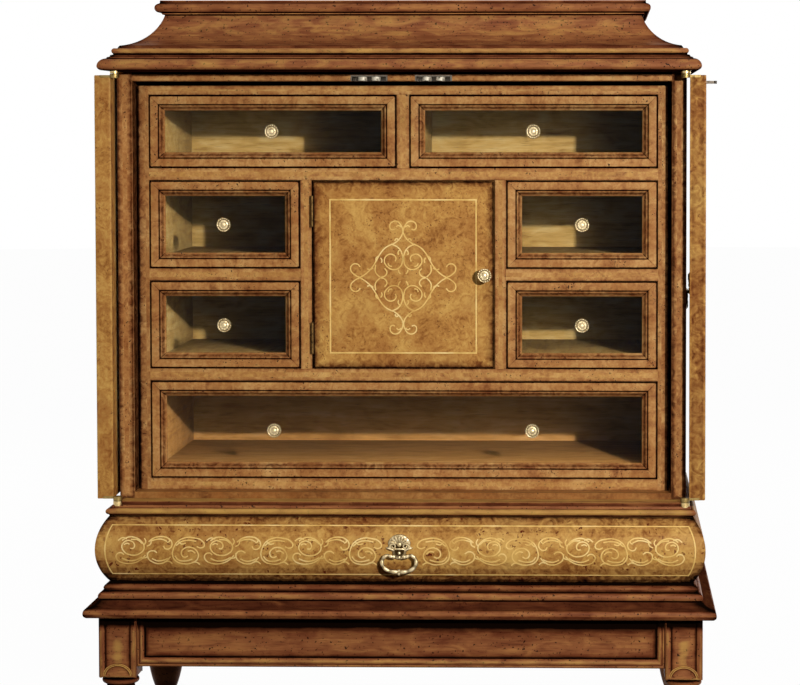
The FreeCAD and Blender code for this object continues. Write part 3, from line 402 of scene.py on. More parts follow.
class Piece:
    """Collects lofted rings in millimetres and makes them one object."""

    def __init__(self, name):
        self.name = name
        self.points = []
        self.faces = []
        self.relief = []
        self.sheets = []
        self.grain = []

    def face(self, indices, sheet, grain):
        """Add one face with its leaf of veneer and the places of its corners on the grain map."""
        self.faces.append(indices)
        self.sheets.append(sheet)
        self.grain.append(grain)

    def cap(self, ring, first, sheet):
        """Close an end ring with one face whose grain runs along its longest side."""
        sides = [after - before for before, after in zip(ring, ring[1:] + ring[:1])]
        along = max(sides, key=lambda side: side.length).normalized()
        upwards = max((along.cross(side) for side in sides), key=lambda way: way.length).normalized()
        across = upwards.cross(along)
        self.face(tuple(range(first, first + len(ring))), sheet,
                  [(point.dot(along), point.dot(across)) for point in ring])

    def loft(self, rings, relief, wrap=False, sheet=0.0, mitred=0.0, upright=False, flat=False):
        """Join rings with equal numbers of points; relief has a value, or a list of them, for each."""
        rings = [[Vector(point) for point in ring] for ring in rings]
        count = len(rings[0])
        first = len(self.points)
        walked = [0.0]
        for before, after in zip(rings, rings[1:] + rings[:1]):
            walked.append(walked[-1] + (after[0] - before[0]).length)
        for ring, value in zip(rings, relief):
            self.points += ring
            self.relief += value if isinstance(value, list) else [value] * count
        sides = [(rings[0][(i + 1) % count] - rings[0][i]) for i in range(count)]
        ways = [side.normalized() if side.length else Vector((1, 0, 0)) for side in sides]
        boards = [0]
        for before, after in zip(ways, ways[1:]):
            boards.append(boards[-1] + (0 if before.dot(after) > SAME_WAY else 1))
        if ways[0].dot(ways[-1]) > SAME_WAY:
            boards = [0 if board == boards[-1] else board for board in boards]
        for level in range(len(rings) if wrap else len(rings) - 1):
            after = (level + 1) % len(rings)
            heights = [walked[level], walked[level], walked[level + 1], walked[level + 1]]
            for i in range(count):
                j = (i + 1) % count
                corners = [(level, i), (level, j), (after, j), (after, i)]
                spots = [rings[k][m] for k, m in corners]
                if upright:
                    grain = [(h, a * sides[0].length) for h, a in zip(heights, (i, i + 1, i + 1, i))]
                elif flat:
                    grain = [(spot.x + spot.y, spot.z) for spot in spots]
                else:
                    grain = [(spot.dot(ways[i]), height + BOARD_GAP * boards[i])
                             for spot, height in zip(spots, heights)]
                indices = tuple(first + k * count + m for k, m in corners)
                self.face(indices, sheet + mitred * boards[i], grain)
        if not wrap:
            self.cap(rings[0], first, sheet + START_LEAF)
            self.cap(rings[-1], first + (len(rings) - 1) * count, sheet + END_LEAF)
        return self

    def move(self, matrix):
        """Place the points by a matrix in millimetres."""
        self.points = [matrix @ point for point in self.points]
        return self

    def shell(self):
        """The faces so far as a mesh in metres, with their relief."""
        mesh = bpy.data.meshes.new(self.name)
        mesh.from_pydata([point * MM for point in self.points], [], self.faces)
        mesh.attributes.new("relief", "FLOAT", "POINT").data.foreach_set("value", self.relief)
        return mesh

    def make(self, material, body, slot, *replaced):
        """Finish the mesh with its veneer leaves and grain map, and give it its object."""
        mesh = self.shell()
        mesh.attributes.new("sheet", "FLOAT", "FACE").data.foreach_set("value", self.sheets)
        run = mesh.uv_layers.new(name="run")
        for polygon, grain in zip(mesh.polygons, self.grain):
            for loop, place in zip(polygon.loop_indices, grain):
                run.data[loop].uv = (place[0] * MM, place[1] * MM)
        outward(mesh)
        return dress(mesh, self.name, material, body, slot, *replaced)


# %% [markdown]
# ## Profiles of the mouldings
# A moulding's section is drawn as corners, with a third point wherever it is an arc, in millimetres out
# from the plan line and up from its board. The outline is sampled finely and its corners eased, as
# scraping and polish do. Then each point looks round in its own plane: the share of open air it sees is
# its relief, so a point in a groove or under an overhang, where shade falls, takes painted shade.


# %% Profile helpers
def turn_of(first, second):
    """The cross product of vectors in a plane: more than 0 where the second lies to the left."""
    return first[..., 0] * second[..., 1] - first[..., 1] * second[..., 0]


def sampled(corners, step=0.7):
    """Walk an outline; a corner with four values is reached by an arc through its last two."""
    path = [np.array(corners[0][:2], float)]
    for corner in corners[1:]:
        start = path[-1]
        end = np.array(corner[:2], float)
        if len(corner) == 2:
            count = max(1, round(np.linalg.norm(end - start) / step))
            path += [start + (end - start) * i / count for i in range(1, count + 1)]
            continue
        middle = np.array(corner[2:], float)
        first, second = middle - start, end - start
        cross = 2 * turn_of(first, second)
        centre = start + np.array([second[1] * first.dot(first) - first[1] * second.dot(second),
                                   first[0] * second.dot(second) - second[0] * first.dot(first)]) / cross
        radius = np.linalg.norm(start - centre)
        angles = [math.atan2(*(place - centre)[::-1]) for place in (start, end)]
        turn = (angles[1] - angles[0]) % (2 * math.pi)
        if cross < 0:
            turn -= 2 * math.pi
        count = max(4, round(abs(turn) * radius / step))
        for i in range(1, count + 1):
            angle = angles[0] + turn * i / count
            path.append(centre + radius * np.array([math.cos(angle), math.sin(angle)]))
    path = np.array(path)
    for _ in range(2):
        path[1:-1] = (path[:-2] + 2 * path[1:-1] + path[2:]) / 4
    return path


FIRST_RAY = 0.05
CLEAR_OF_WALL = 0.08
PARALLEL = 1e-9


def openness(path, reach=13.0, rays=40):
    """The share of open air that each point of an outline sees within reach."""
    starts, steps = path[:-1], path[1:] - path[:-1]
    tangents = np.gradient(path, axis=0)
    normals = np.stack([tangents[:, 1], -tangents[:, 0]], 1)
    normals /= np.linalg.norm(normals, axis=1)[:, None]
    angles = np.linspace(0, 2 * math.pi, rays, endpoint=False) + FIRST_RAY
    ways = np.stack([np.cos(angles), np.sin(angles)], 1)
    cross = turn_of(ways[:, None], steps[None])
    cross[np.abs(cross) < PARALLEL] = PARALLEL
    seen = []
    for point, normal in zip(path, normals):
        gap = starts - (point + CLEAR_OF_WALL * normal)
        distance = turn_of(gap[None], steps[None]) / cross
        share = turn_of(gap[None], ways[:, None]) / cross
        hit = (distance > 0) & (distance < reach) & (share >= 0) & (share <= 1)
        seen.append(1 - hit.any(axis=1).mean())
    return np.array(seen)


# %% Sections and their relief
# The plan line that the sections stand on, half its width and its front; the back is flat.
LINE_HALF, LINE_FRONT, BACK = 355.5, 168.0, 203.0
APRON_FACE, BACK_BOARD = 15.5, 185
# Each section: its level, then its corners. The case is here only because it shades what is next to it.
SECTIONS = {
    "base": (177.5, [(20, -2.8), (31, -2.8), (34, -0.6), (33, 8.5, 34.9, 4.2), (19, 16.6, 24.6, 11.2),
                     (15.5, 18), (15.5, 27.2, 18.8, 22.6), (9.5, 28.4), (9.5, 36.4, 12.7, 32.5), (5, 37),
                     (5, 39.5)]),
    "bombe": (217.6, [(6, 0), (6, 80.8, 21.5, 40.4)]),
    "ledge": (299.0, [(6, 0), (6, 1.5), (6.5, 9, 10, 5), (3, 9.6), (3, 12.4), (0, 13), (0, 16.85)]),
    "case": (316.0, [(-28, 0), (-28, 532)]),
    "cornice": (848.15, [(0, 0), (2, 0.65), (9, 1.5), (15.6, 6.4, 13.8, 2.9), (7.5, 15.9, 13.4, 12.2),
                         (5, 16.25), (5, 17.85), (1.5, 18.45), (1.5, 20.45), (-2, 21.05), (-2, 22.25),
                         (-2.5, 28.85, 0, 25.55)]),
    "caddy": (877.0, [(-6.5, 0), (-8.5, 3.5), (-57.5, 43, -40, 16.99), (-54, 43.6), (-54, 45.4), (-50, 46),
                      (-49, 56.5, -46, 51.5), (-52, 57.5), (-52, 61)]),
}
# Bands of painted shade, with glaze, and of wear with a painted highlight: from and to a height, then the
# least and most relief there.
SHADE_AND_WEAR_BANDS = {
    "base": [(174, 177, 0.3, 0.44), (177, 179.6, 0.32, 0.37), (179.6, 184.4, 0.44, 0.49),
             (184.4, 186, 0.33, 0.38), (186, 194, 0.25, 0.32), (197, 203, 0.54, 0.62),
             (206, 214, 0.36, 0.43)],
    "bombe": [(217, 221, 0.25, 0.3), (221, 228, 0.345, 0.37), (228, 236, 0.39, 0.415),
              (236, 245, 0.44, 0.47), (245, 276, 0.58, 0.62), (280, 288, 0.43, 0.46),
              (288, 294, 0.4, 0.43), (294, 297, 0.37, 0.41), (297, 299, 0.24, 0.3)],
    "ledge": [(300, 301.5, 0.4, 0.5), (301.5, 308, 0.62, 0.7), (308.5, 311.5, 0.52, 0.58)],
    "cornice": [(848, 850.6, 0.16, 0.28), (850.6, 853, 0.38, 0.46), (853, 863, 0.55, 0.61),
                (863.4, 864.8, 0.18, 0.27), (864.8, 866, 0.44, 0.5), (866, 868.6, 0.28, 0.34),
                (868.6, 870.6, 0.14, 0.22), (871, 876.4, 0.59, 0.66)],
    "caddy": [(877, 881, 0.2, 0.36), (881, 887, 0.38, 0.44), (887, 894, 0.47, 0.51),
              (894, 919, 0.55, 0.58), (919.3, 920.7, 0.2, 0.3), (920.8, 922.2, 0.58, 0.66),
              (922.3, 924, 0.16, 0.26), (925, 933, 0.43, 0.5)],
}
profiles = {name: sampled(corners) + np.array([0, level]) for name, (level, corners) in SECTIONS.items()}
apron_line = np.array([[APRON_FACE, 112.0], [APRON_FACE, 177.4]])
top_middle = np.array([[-120.0, 938.0]])
whole_relief = openness(np.vstack([apron_line, *profiles.values(), top_middle]))
reliefs = {}
start = len(apron_line)
for name, path in profiles.items():
    reliefs[name] = list(whole_relief[start:start + len(path)])
    start += len(path)
    for low, high, least, most in SHADE_AND_WEAR_BANDS.get(name, ()):
        band = (path[:, 1] >= low) & (path[:, 1] <= high)
        reliefs[name] = list(np.where(band, np.clip(reliefs[name], least, most), reliefs[name]))
    print(name, "relief from", round(min(reliefs[name]), 2), "to", round(max(reliefs[name]), 2))

# %% [markdown]
# ## Mouldings of the stand and the top
# Base, ledge, cornice and caddy top each run round the front and both ends and stop flat at the back. A
# stack of rectangles makes the mitres by itself, which a curve with a bevel can't do without pinching
# the corners.

# %% Mouldings
# Painted shade lies by the mitres, where the moulding turns away: points at these distances from them hold
# it, and it is this much darker.
MITRE_NEAR, MITRE_FAR = 5, 18
MITRE_DEEP, MITRE_SOFT = 0.15, 0.07
MITRE_SHADE = (MITRE_DEEP, MITRE_SOFT, 0, 0, MITRE_SOFT, MITRE_DEEP, MITRE_SOFT, 0, 0, 0, 0, MITRE_SOFT)
BARE_EDGE = 1.2


def stacked(name, section, back=BACK, sheet=0.0, bare_ends=False):
    """A moulded board from its section, mitred round the front and the two ends."""
    steps = list(zip(profiles[section], reliefs[section]))
    if bare_ends:
        # No painted shade or glaze on the flat top and bottom, which show when a drawer is out.
        (low, _), (high, _) = steps[0], steps[-1]
        steps = [((low[0] - BARE_EDGE, low[1]), 0.5), *steps, ((high[0] - BARE_EDGE, high[1]), 0.5)]
    rings, relief = [], []
    for (out, z), value in steps:
        x, y = LINE_HALF + out, -LINE_FRONT - out
        front = (-x, MITRE_NEAR - x, MITRE_FAR - x, x - MITRE_FAR, x - MITRE_NEAR, x)
        right = (y + MITRE_NEAR, y + MITRE_FAR, back)
        rings.append([(across, y, z) for across in front] + [(x, depth, z) for depth in right]
                     + [(-x, depth, z) for depth in reversed(right)])
        relief.append([value - drop for drop in MITRE_SHADE])
    return Piece(name).loft(rings, relief, sheet=sheet, mitred=0.7)


MOULDINGS = (("moulded_base", "base", "base_moulding"), ("moulded_ledge", "ledge", "stand_top"),
             ("moulded_cornice", "cornice", "cornice"), ("caddy_top_board", "caddy", "caddy_top"))
for number, (name, section, node) in enumerate(MOULDINGS):
    stacked(name, section, sheet=1.0 + number).make(walnut, "cabinet", "antiqued_walnut", node)
print("mouldings:", len(MOULDINGS))

# %% [markdown]
# ## Boards
# A board is a nest of rectangles too: up its edge, round an eased arris, and inwards over its face. The
# rings on the face hold painted shade, with glaze, darker along the edges of a panel.

# %% Board helper
FACES = {
    "-y": lambda a, b, d, low, high: (a, low[1] + d, b),
    "+y": lambda a, b, d, low, high: (a, high[1] - d, b),
    "+x": lambda a, b, d, low, high: (high[0] - d, a, b),
    "-x": lambda a, b, d, low, high: (low[0] + d, a, b),
    "+z": lambda a, b, d, low, high: (a, b, high[2] - d),
}
AXES = {"-y": (0, 2, 1), "+y": (0, 2, 1), "+x": (1, 2, 0), "-x": (1, 2, 0), "+z": (0, 1, 2)}
EDGE_SHADE = ((2.5, 0.46), (6, 0.45), (12, 0.485), (20, 0.5))
NO_LIMIT = 1e9


def slab(piece, low, high, face="-y", arris=1.2, shade=EDGE_SHADE, ends=(1, 1), side_relief=0.3,
         sheet=0.0, mitred=0.0, edge_relief=0.56):
    """Add a board between two corners; ends says at which ends of its face's axes the arris runs in."""
    first, second, depth = AXES[face]
    across, along = [(end, end) if isinstance(end, int) else end for end in ends]
    thick = high[depth] - low[depth]
    steps = [(0, thick, 0.4), (0, min(4.0, thick * 0.6), side_relief), (0, arris, 0.5),
             (0.3 * arris, 0.3 * arris, edge_relief), (arris, 0, edge_relief - 0.04)]
    room = min((high[first] - low[first]) / sum(across) if sum(across) else NO_LIMIT,
               (high[second] - low[second]) / sum(along) if sum(along) else NO_LIMIT)
    steps += [(inset, 0, value) for inset, value in shade if inset < room - 0.5]
    rings = []
    for inset, down, value in steps:
        a0, a1 = low[first] + inset * across[0], high[first] - inset * across[1]
        b0, b1 = low[second] + inset * along[0], high[second] - inset * along[1]
        corners = ((a0, b0), (a1, b0), (a1, b1), (a0, b1))
        rings.append([FACES[face](a, b, down, low, high) for a, b in corners])
    return piece.loft(rings, [value for inset, down, value in steps], sheet=sheet, mitred=mitred)


def both_sides(low, high):
    """A pair of corners and its mirror image across the middle."""
    return [(low, high), ((-high[0], low[1], low[2]), (-low[0], high[1], high[2]))]


# %% [markdown]
# ## Case and nest
# The case's front edges read as two narrow pilasters, and the nest's boards as a face frame round the
# drawers. The face frame is flush, and painted shade in the gaps and on the drawers' edges draws the
# black line round each.

# %% Case
SIDE_LOW, SIDE_HIGH = (335.5, -140, 316), (354, BACK, 848)
PILASTER_SHADE = ((2.2, 0.36), (4, 0.42), (6.5, 0.5))
case = Piece("case_side_boards")
for number, corners in enumerate(both_sides(SIDE_LOW, SIDE_HIGH)):
    # The right side, which comes first, is darker by painted shade, as it stands in the shade of its door.
    painted_door_shade = 0.05 if number == 0 else 0.0
    slab(case, *corners, arris=1.4, shade=[(inset, value - painted_door_shade) for inset, value in PILASTER_SHADE],
         edge_relief=0.36, sheet=5.0 + number)
case.make(veneer, "cabinet", "antiqued_walnut", "case_sides")

# A thin lipping faces the roof's front edge, cut round the two catches, and painted shade makes it black
# under the cornice.
LIP_HALF, LIP_FRONT, LIP_BACK = 335.4, -140.4, -139.8
CATCH_INNER, CATCH_OUTER = 16.8, 63.2
# Each ring of the lipping: its height, how far back it is eased, its relief.
LIP = ((837.2, 0.36, 0.3), (838.0, 0.1, 0.54), (840.5, 0, 0.54), (842.6, 0, 0.46), (844.4, 0, 0.24))
LIP_TOP = ((844.6, 0, 0.24), (846, 0, 0.12), (847.9, 0, 0.06))
lip = Piece("case_roof_lipping")
for x0, x1, steps in ((-LIP_HALF, -CATCH_OUTER, LIP), (-CATCH_INNER, CATCH_INNER, LIP),
                      (CATCH_OUTER, LIP_HALF, LIP), (-LIP_HALF, LIP_HALF, LIP_TOP)):
    rings = [[(x0, LIP_FRONT + eased, z), (x1, LIP_FRONT + eased, z), (x1, LIP_BACK, z), (x0, LIP_BACK, z)]
             for z, eased, value in steps]
    lip.loft(rings, [value for z, eased, value in steps], sheet=6.4)
lip.make(veneer, "cabinet", "antiqued_walnut")
print("case boards and lipping made")

# %% Nest boards
FRONT, REAR = -114.0, 190.0
NEST_HALF, NEST_FOOT, NEST_HEAD, STILE = 319.2, 324, 831.5, 14
PARTITION_INNER, PARTITION_OUTER, DIVIDER_HALF = 115, 129, 7.75
ROWS = {"top": (728.5, 820.5), "upper": (602.5, 713.5), "lower": (476.5, 587.5), "bottom": (338.0, 461.5)}
RAIL_SHADE = ((0.8, 0.45), (2.4, 0.53), (4.6, 0.59))
STILE_SHADE = ((1.9, 0.32), (3.4, 0.39), (6.5, 0.44), (9.5, 0.47))
nest = Piece("nest_face_frame")
stiles = both_sides((NEST_HALF, FRONT, NEST_FOOT), (NEST_HALF + STILE, REAR, NEST_HEAD))
for number, (low, high) in enumerate(stiles):
    slab(nest, low, high, arris=1.5, shade=STILE_SHADE, ends=((0, 1) if low[0] > 0 else (1, 0), 0),
         edge_relief=0.26, sheet=7.0 + 0.6 * number)
uprights = both_sides((PARTITION_INNER, FRONT, ROWS["lower"][0]), (PARTITION_OUTER, REAR, ROWS["upper"][1]))
uprights.append(((-DIVIDER_HALF, FRONT, ROWS["top"][0]), (DIVIDER_HALF, REAR, ROWS["top"][1])))
levels = ((NEST_FOOT, ROWS["bottom"][0]), (ROWS["bottom"][1], ROWS["lower"][0]),
          (ROWS["upper"][1], ROWS["top"][0]), (ROWS["top"][1], NEST_HEAD))
shelves = [((-NEST_HALF, FRONT, z0), (NEST_HALF, REAR, z1)) for z0, z1 in levels]
shelves += both_sides((PARTITION_OUTER, FRONT, ROWS["lower"][1]), (NEST_HALF, REAR, ROWS["upper"][0]))
for boards, ends, leaf in ((uprights, (1, 0), 8.4), (shelves, (0, 1), 11.0)):
    for number, (low, high) in enumerate(boards):
        slab(nest, low, high, arris=0.3, shade=RAIL_SHADE, ends=ends, edge_relief=0.44, side_relief=0.16,
             sheet=leaf + 0.6 * number)
nest.make(veneer, "cabinet", "antiqued_walnut", "nest_sides", "nest_shelves", "nest_partitions")
print("nest boards:", len(stiles) + len(uprights) + len(shelves))

# %% [markdown]
# ## Glass-fronted drawers
# Each drawer front is a mitred frame: a flat, a quirk and an ovolo that falls to the glass. Its section
# goes round as a loft that closes on itself, so the rebate behind the pane is there as well. The tray
# behind it is oak.

# %% Drawer fronts and trays
FACE, FRAME_DEEP, TRAY_BACK = -115.5, 18.0, 180
# The frame's section: in from the edge, back from the face, and the relief there. Its low relief at
# the outer edge and in the quirk is painted shade, black in the gap round the drawer; the high relief by
# the sight edge is wear with a painted highlight.
FRAME_SECTION = [
    (0, 18, 0.46), (0, 4, 0.42), (0, 1.9, 0.1), (0.5, 0.8, 0.14), (1.2, 0.2, 0.34), (2.0, 0, 0.56),
    (3.6, 0, 0.54), (6.5, 0, 0.5), (9.8, 0, 0.49), (10.8, 0.3, 0.4), (11.3, 1.0, 0.14), (11.7, 1.0, 0.12),
    (12.1, 0.3, 0.28), (12.9, 0.0, 0.44), (13.8, 0.3, 0.42), (14.5, 1.0, 0.38), (15.2, 2.2, 0.36),
    (16.2, 3.8, 0.38), (17.4, 5.0, 0.43), (18.4, 5.8, 0.57), (19, 6.9, 0.34), (19, 7.0, 0.1),
    (15, 7.0, 0.1), (15, 18, 0.2)]
SPANS = {"left": (-NEST_HALF, -PARTITION_OUTER), "right": (PARTITION_OUTER, NEST_HALF)}
DRAWERS = {
    "top_left_drawer": ((-NEST_HALF, -DIVIDER_HALF), "top"),
    "top_right_drawer": ((DIVIDER_HALF, NEST_HALF), "top"),
    "upper_left_drawer": (SPANS["left"], "upper"), "upper_right_drawer": (SPANS["right"], "upper"),
    "lower_left_drawer": (SPANS["left"], "lower"), "lower_right_drawer": (SPANS["right"], "lower"),
    "bottom_drawer": ((-NEST_HALF, NEST_HALF), "bottom"),
}


def tray(piece, x, y, z, wall, floor, sheet, floor_thick=4.0):
    """Two sides, a back and a raised floor."""
    left, right, back = x[0] + wall, x[1] - wall, y[1] - wall
    boards = (((x[0], y[0], z[0]), (left, y[1], z[1]), "+x", 0.6, 0.0),
              ((right, y[0], z[0]), (x[1], y[1], z[1]), "-x", 0.6, 1.3),
              ((left, back, z[0]), (right, y[1], z[1]), "-y", 0.6, 2.1),
              ((left, y[0], floor - floor_thick), (right, back, floor), "+z", 0.4, 3.7))
    for low, high, face, arris, leaf in boards:
        slab(piece, low, high, face, arris, (), side_relief=0.5, sheet=sheet + leaf)
    return piece


def mitred_ring(x, z, y, near=1.1):
    """A rectangle towards -Y with a point on each side of every corner, for the mitre's dark line."""
    corners = [(x[0], z[0]), (x[1], z[0]), (x[1], z[1]), (x[0], z[1])]
    ring = []
    for before, corner, after in zip(corners[-1:] + corners[:3], corners, corners[1:] + corners[:1]):
        for other, share in ((before, near), (before, 0.0), (after, near)):
            length = abs(other[0] - corner[0]) + abs(other[1] - corner[1])
            ring.append((corner[0] + (other[0] - corner[0]) * share / length, y,
                         corner[1] + (other[1] - corner[1]) * share / length))
    return ring


# Such a ring is darker at its very corners.
CORNER_GLAZE = 0.14
frame_relief = [[value, value - CORNER_GLAZE, value] * 4 for inset, back, value in FRAME_SECTION]
DRAWER_GAP, TRAY_WALL, TRAY_FOOT, TRAY_HEAD, TRAY_FLOOR = 1, 8.0, 0.3, 3, 15
for number, (name, (x, row)) in enumerate(DRAWERS.items()):
    z = ROWS[row]
    x0, x1, z0, z1 = x[0] + DRAWER_GAP, x[1] - DRAWER_GAP, z[0] + DRAWER_GAP, z[1] - DRAWER_GAP
    rings = [mitred_ring((x0 + inset, x1 - inset), (z0 + inset, z1 - inset), FACE + back)
             for inset, back, value in FRAME_SECTION]
    front = Piece(name + "_front").loft(rings, frame_relief, wrap=True, sheet=20.0 + 3 * number)
    front.make(veneer, name, "antiqued_walnut", name)
    box = tray(Piece(name + "_tray"), (x0 + DRAWER_GAP, x1 - DRAWER_GAP), (FACE + FRAME_DEEP, TRAY_BACK),
               (z[0] + TRAY_FOOT, z1 - TRAY_HEAD), TRAY_WALL, z[0] + TRAY_FLOOR, 40.0 + 5 * number)
    box.make(warm_oak if row == "bottom" else oak, name, "drawer_oak", name)
    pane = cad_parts[name + "_glass"]
    pane.data.materials.clear()
    pane.data.materials.append(glass)
print("drawers:", len(DRAWERS))

# %% [markdown]
# ## Turned brass knobs
# A knob is a turning: flange, waist and a domed head, with a ring of beads round a small rosette on its
# face. The turning is a stack of circles. Geometry Nodes set the beads and petals round it, because they
# repeat.

# %% Knob turning and its rosette
# The knob's section: radius, out from its seat, relief.
KNOB_SECTION = [
    (2, 0, 0.3), (6.5, 0, 0.5), (6.5, 0.9, 0.55), (5.9, 1.5, 0.5), (4.6, 2.4, 0.4), (3.8, 4.5, 0.4),
    (3.4, 7.5, 0.42), (3.5, 10.5, 0.42), (4.4, 12.2, 0.42), (6.6, 13.2, 0.5), (8.3, 14.3, 0.55),
    (9, 15.6, 0.6), (9, 16.6, 0.6), (8.5, 17.6, 0.6), (7.7, 18.2, 0.55), (7.1, 18.1, 0.42),
    (6.6, 17.7, 0.36), (6.2, 18.2, 0.44), (5.2, 18.9, 0.58), (4.0, 19.2, 0.52), (3.3, 19.0, 0.4),
    (2.9, 19.3, 0.48), (1.8, 19.85, 0.6), (0.4, 20, 0.6)]
KNOB_SIDES = 40
BEAD_RELIEF = 0.6


def circle(radius, level, centre=(0, 0, 0), count=KNOB_SIDES):
    """A ring about a line along Y, standing out from its centre towards -Y by level."""
    return [(centre[0] + radius * math.cos(t), centre[1] - level, centre[2] + radius * math.sin(t))
            for t in round_angles(count)]


def socket(tree, name, kind, default=None):
    """Add a named input to a Geometry Nodes tree."""
    item = tree.interface.new_socket(name=name, in_out="INPUT", socket_type="NodeSocket" + kind)
    if default is not None:
        item.default_value = default
    return item.identifier


def rosette_tree():
    """A ring of beads and a ring of petals about the Y axis, joined to the turning that comes in."""
    tree = bpy.data.node_groups.new("rosette", "GeometryNodeTree")
    socket(tree, "Turning", "Geometry")
    socket(tree, "Beads", "Int", 18)
    socket(tree, "Petals", "Int", 9)
    socket(tree, "Rim radius", "Float", 0.0079)
    finish_key = socket(tree, "Finish", "Material")
    tree.interface.new_socket(name="Knob", in_out="OUTPUT", socket_type="NodeSocketGeometry")
    source = add(tree, "NodeGroupInput").outputs
    parts = [source["Turning"]]
    # Each ring: its count, its share of the rim's radius, how far out it lies, the size of one.
    for count, share, level, size in (("Beads", 1.0, -0.0178, (0.0011, 0.0011, 0.0011)),
                                      ("Petals", 0.62, -0.0188, (0.0016, 0.0008, 0.0008))):
        radius = add(tree, "ShaderNodeMath", {0: source["Rim radius"], 1: share}, operation="MULTIPLY")
        ring = add(tree, "GeometryNodeMeshCircle", {"Vertices": source[count], "Radius": radius})
        outwards = add(tree, "GeometryNodeInputNormal").outputs["Normal"]
        facing = add(tree, "FunctionNodeAlignRotationToVector", {"Vector": outwards}, axis="X")
        bead = add(tree, "GeometryNodeMeshUVSphere", {"Segments": 8, "Rings": 5, "Radius": 1.0})
        set_out = add(tree, "GeometryNodeInstanceOnPoints", {
            "Points": ring.outputs["Mesh"], "Instance": bead.outputs["Mesh"],
            "Rotation": facing.outputs["Rotation"], "Scale": size})
        raised = add(tree, "GeometryNodeTransform", {
            "Geometry": set_out.outputs["Instances"], "Rotation": (math.pi / 2, 0.0, 0.0),
            "Translation": (0.0, level, 0.0)})
        parts.append(raised.outputs["Geometry"])
    joined = add(tree, "GeometryNodeJoinGeometry")
    for part in reversed(parts):
        tree.links.new(part, joined.inputs["Geometry"])
    real = add(tree, "GeometryNodeRealizeInstances", {"Geometry": joined.outputs["Geometry"]})
    finished = add(tree, "GeometryNodeSetMaterial", {
        "Geometry": real.outputs["Geometry"], "Material": source["Finish"]})
    add(tree, "NodeGroupOutput", {"Knob": finished.outputs["Geometry"]})
    return tree, finish_key


def grown(base, tree, values):
    """Run a Geometry Nodes tree on a scratch object and give the result as a plain mesh."""
    scratch = bpy.data.objects.new("scratch", base)
    scene.collection.objects.link(scratch)
    modifier = scratch.modifiers.new("nodes", "NODES")
    modifier.node_group = tree
    for key, value in values.items():
        modifier[key] = value
    graph = bpy.context.evaluated_depsgraph_get()
    mesh = bpy.data.meshes.new_from_object(scratch.evaluated_get(graph))
    bpy.data.objects.remove(scratch)
    return mesh


turning = Piece("knob_turning").loft([circle(radius, level) for radius, level, value in KNOB_SECTION],
                                     [value for radius, level, value in KNOB_SECTION], upright=True)
rosette, rosette_finish = rosette_tree()
knob_mesh = grown(turning.shell(), rosette, {rosette_finish: cast_brass})
for number in range(len(KNOB_SECTION) * KNOB_SIDES, len(knob_mesh.vertices)):
    knob_mesh.attributes["relief"].data[number].value = BEAD_RELIEF
outward(knob_mesh)
print("knob:", len(knob_mesh.polygons), "faces")


# %% Set the knobs
def set_knobs(name, places, body, replaced):
    """Copies of the knob on their seats, as one piece for each body."""
    joined = bmesh.new()
    for place in places:
        copy = knob_mesh.copy()
        copy.transform(Matrix.Translation(Vector(place) * MM))
        joined.from_mesh(copy)
        bpy.data.meshes.remove(copy)
    mesh = bpy.data.meshes.new(name)
    joined.to_mesh(mesh)
    joined.free()
    dress(mesh, name, cast_brass, body, "antique_brass", replaced)


# The panes lie this far behind the frames' faces.
GLASS_FACE = FACE + 7
BOTTOM_KNOBS = (-162, 162)
CUPBOARD_KNOB = (102.6, FACE, 595)
for name, (x, row) in DRAWERS.items():
    level = sum(ROWS[row]) / 2
    if name == "bottom_drawer":
        set_knobs("bottom_drawer_brass_knobs", [(across, GLASS_FACE, level) for across in BOTTOM_KNOBS],
                  name, "bottom_drawer_knobs")
    else:
        set_knobs(name + "_brass_knob", [(sum(x) / 2, GLASS_FACE, level)], name, name + "_knob")
set_knobs("cupboard_door_brass_knob", [CUPBOARD_KNOB], "cupboard_door", "cupboard_door_knob")
print("knobs set:", len(DRAWERS) + 2)

# %% [markdown]
# ## Cupboard door
# The small door in the middle is a burl panel with a mitred border and a boxwood string between them.
# The string is let in flush on the real door; here it stands a tenth of a millimetre proud so that it
# never flickers.

# %% Cupboard door and its string
DOOR_SHADE = ((2.2, 0.34), (4.5, 0.39), (8, 0.45), (13, 0.505), (20.5, 0.51))
CUPBOARD_LOW, CUPBOARD_HIGH = (-113, FACE, 477.5), (114, FACE + 18, 712.5)
STRING_X, STRING_Z, STRING_WIDTH = (-92.5, 92.5), (496, 690), 1.8
cupboard = slab(Piece("cupboard_door_board"), CUPBOARD_LOW, CUPBOARD_HIGH, shade=DOOR_SHADE, arris=1.3,
                sheet=80.0, mitred=0.9, edge_relief=0.26)
cupboard.make(panel_veneer, "cupboard_door", "marquetry_panel", "cupboard_door")
rings = []
for inset, back in ((0, 0.4), (0, -0.1), (STRING_WIDTH, -0.1), (STRING_WIDTH, 0.4)):
    x0, x1, z0, z1 = STRING_X[0] + inset, STRING_X[1] - inset, STRING_Z[0] + inset, STRING_Z[1] - inset
    rings.append([(across, FACE + back, up) for across, up in ((x0, z0), (x1, z0), (x1, z1), (x0, z1))])
string = Piece("cupboard_door_string").loft(rings, [0.5] * len(rings), wrap=True)
string.make(boxwood, "cupboard_door", "marquetry_panel")
print("cupboard door and its string made")

# %% [markdown]
# ## Scroll inlay
# The scrolls are traditional running foliage: C and S curves that thicken at their curled ends. Each
# motif is a set of short smooth curves drawn flat, in millimetres. Geometry Nodes repeat and mirror a
# motif, give the lines their width, and bend the flat drawing onto the swelling drawer front.

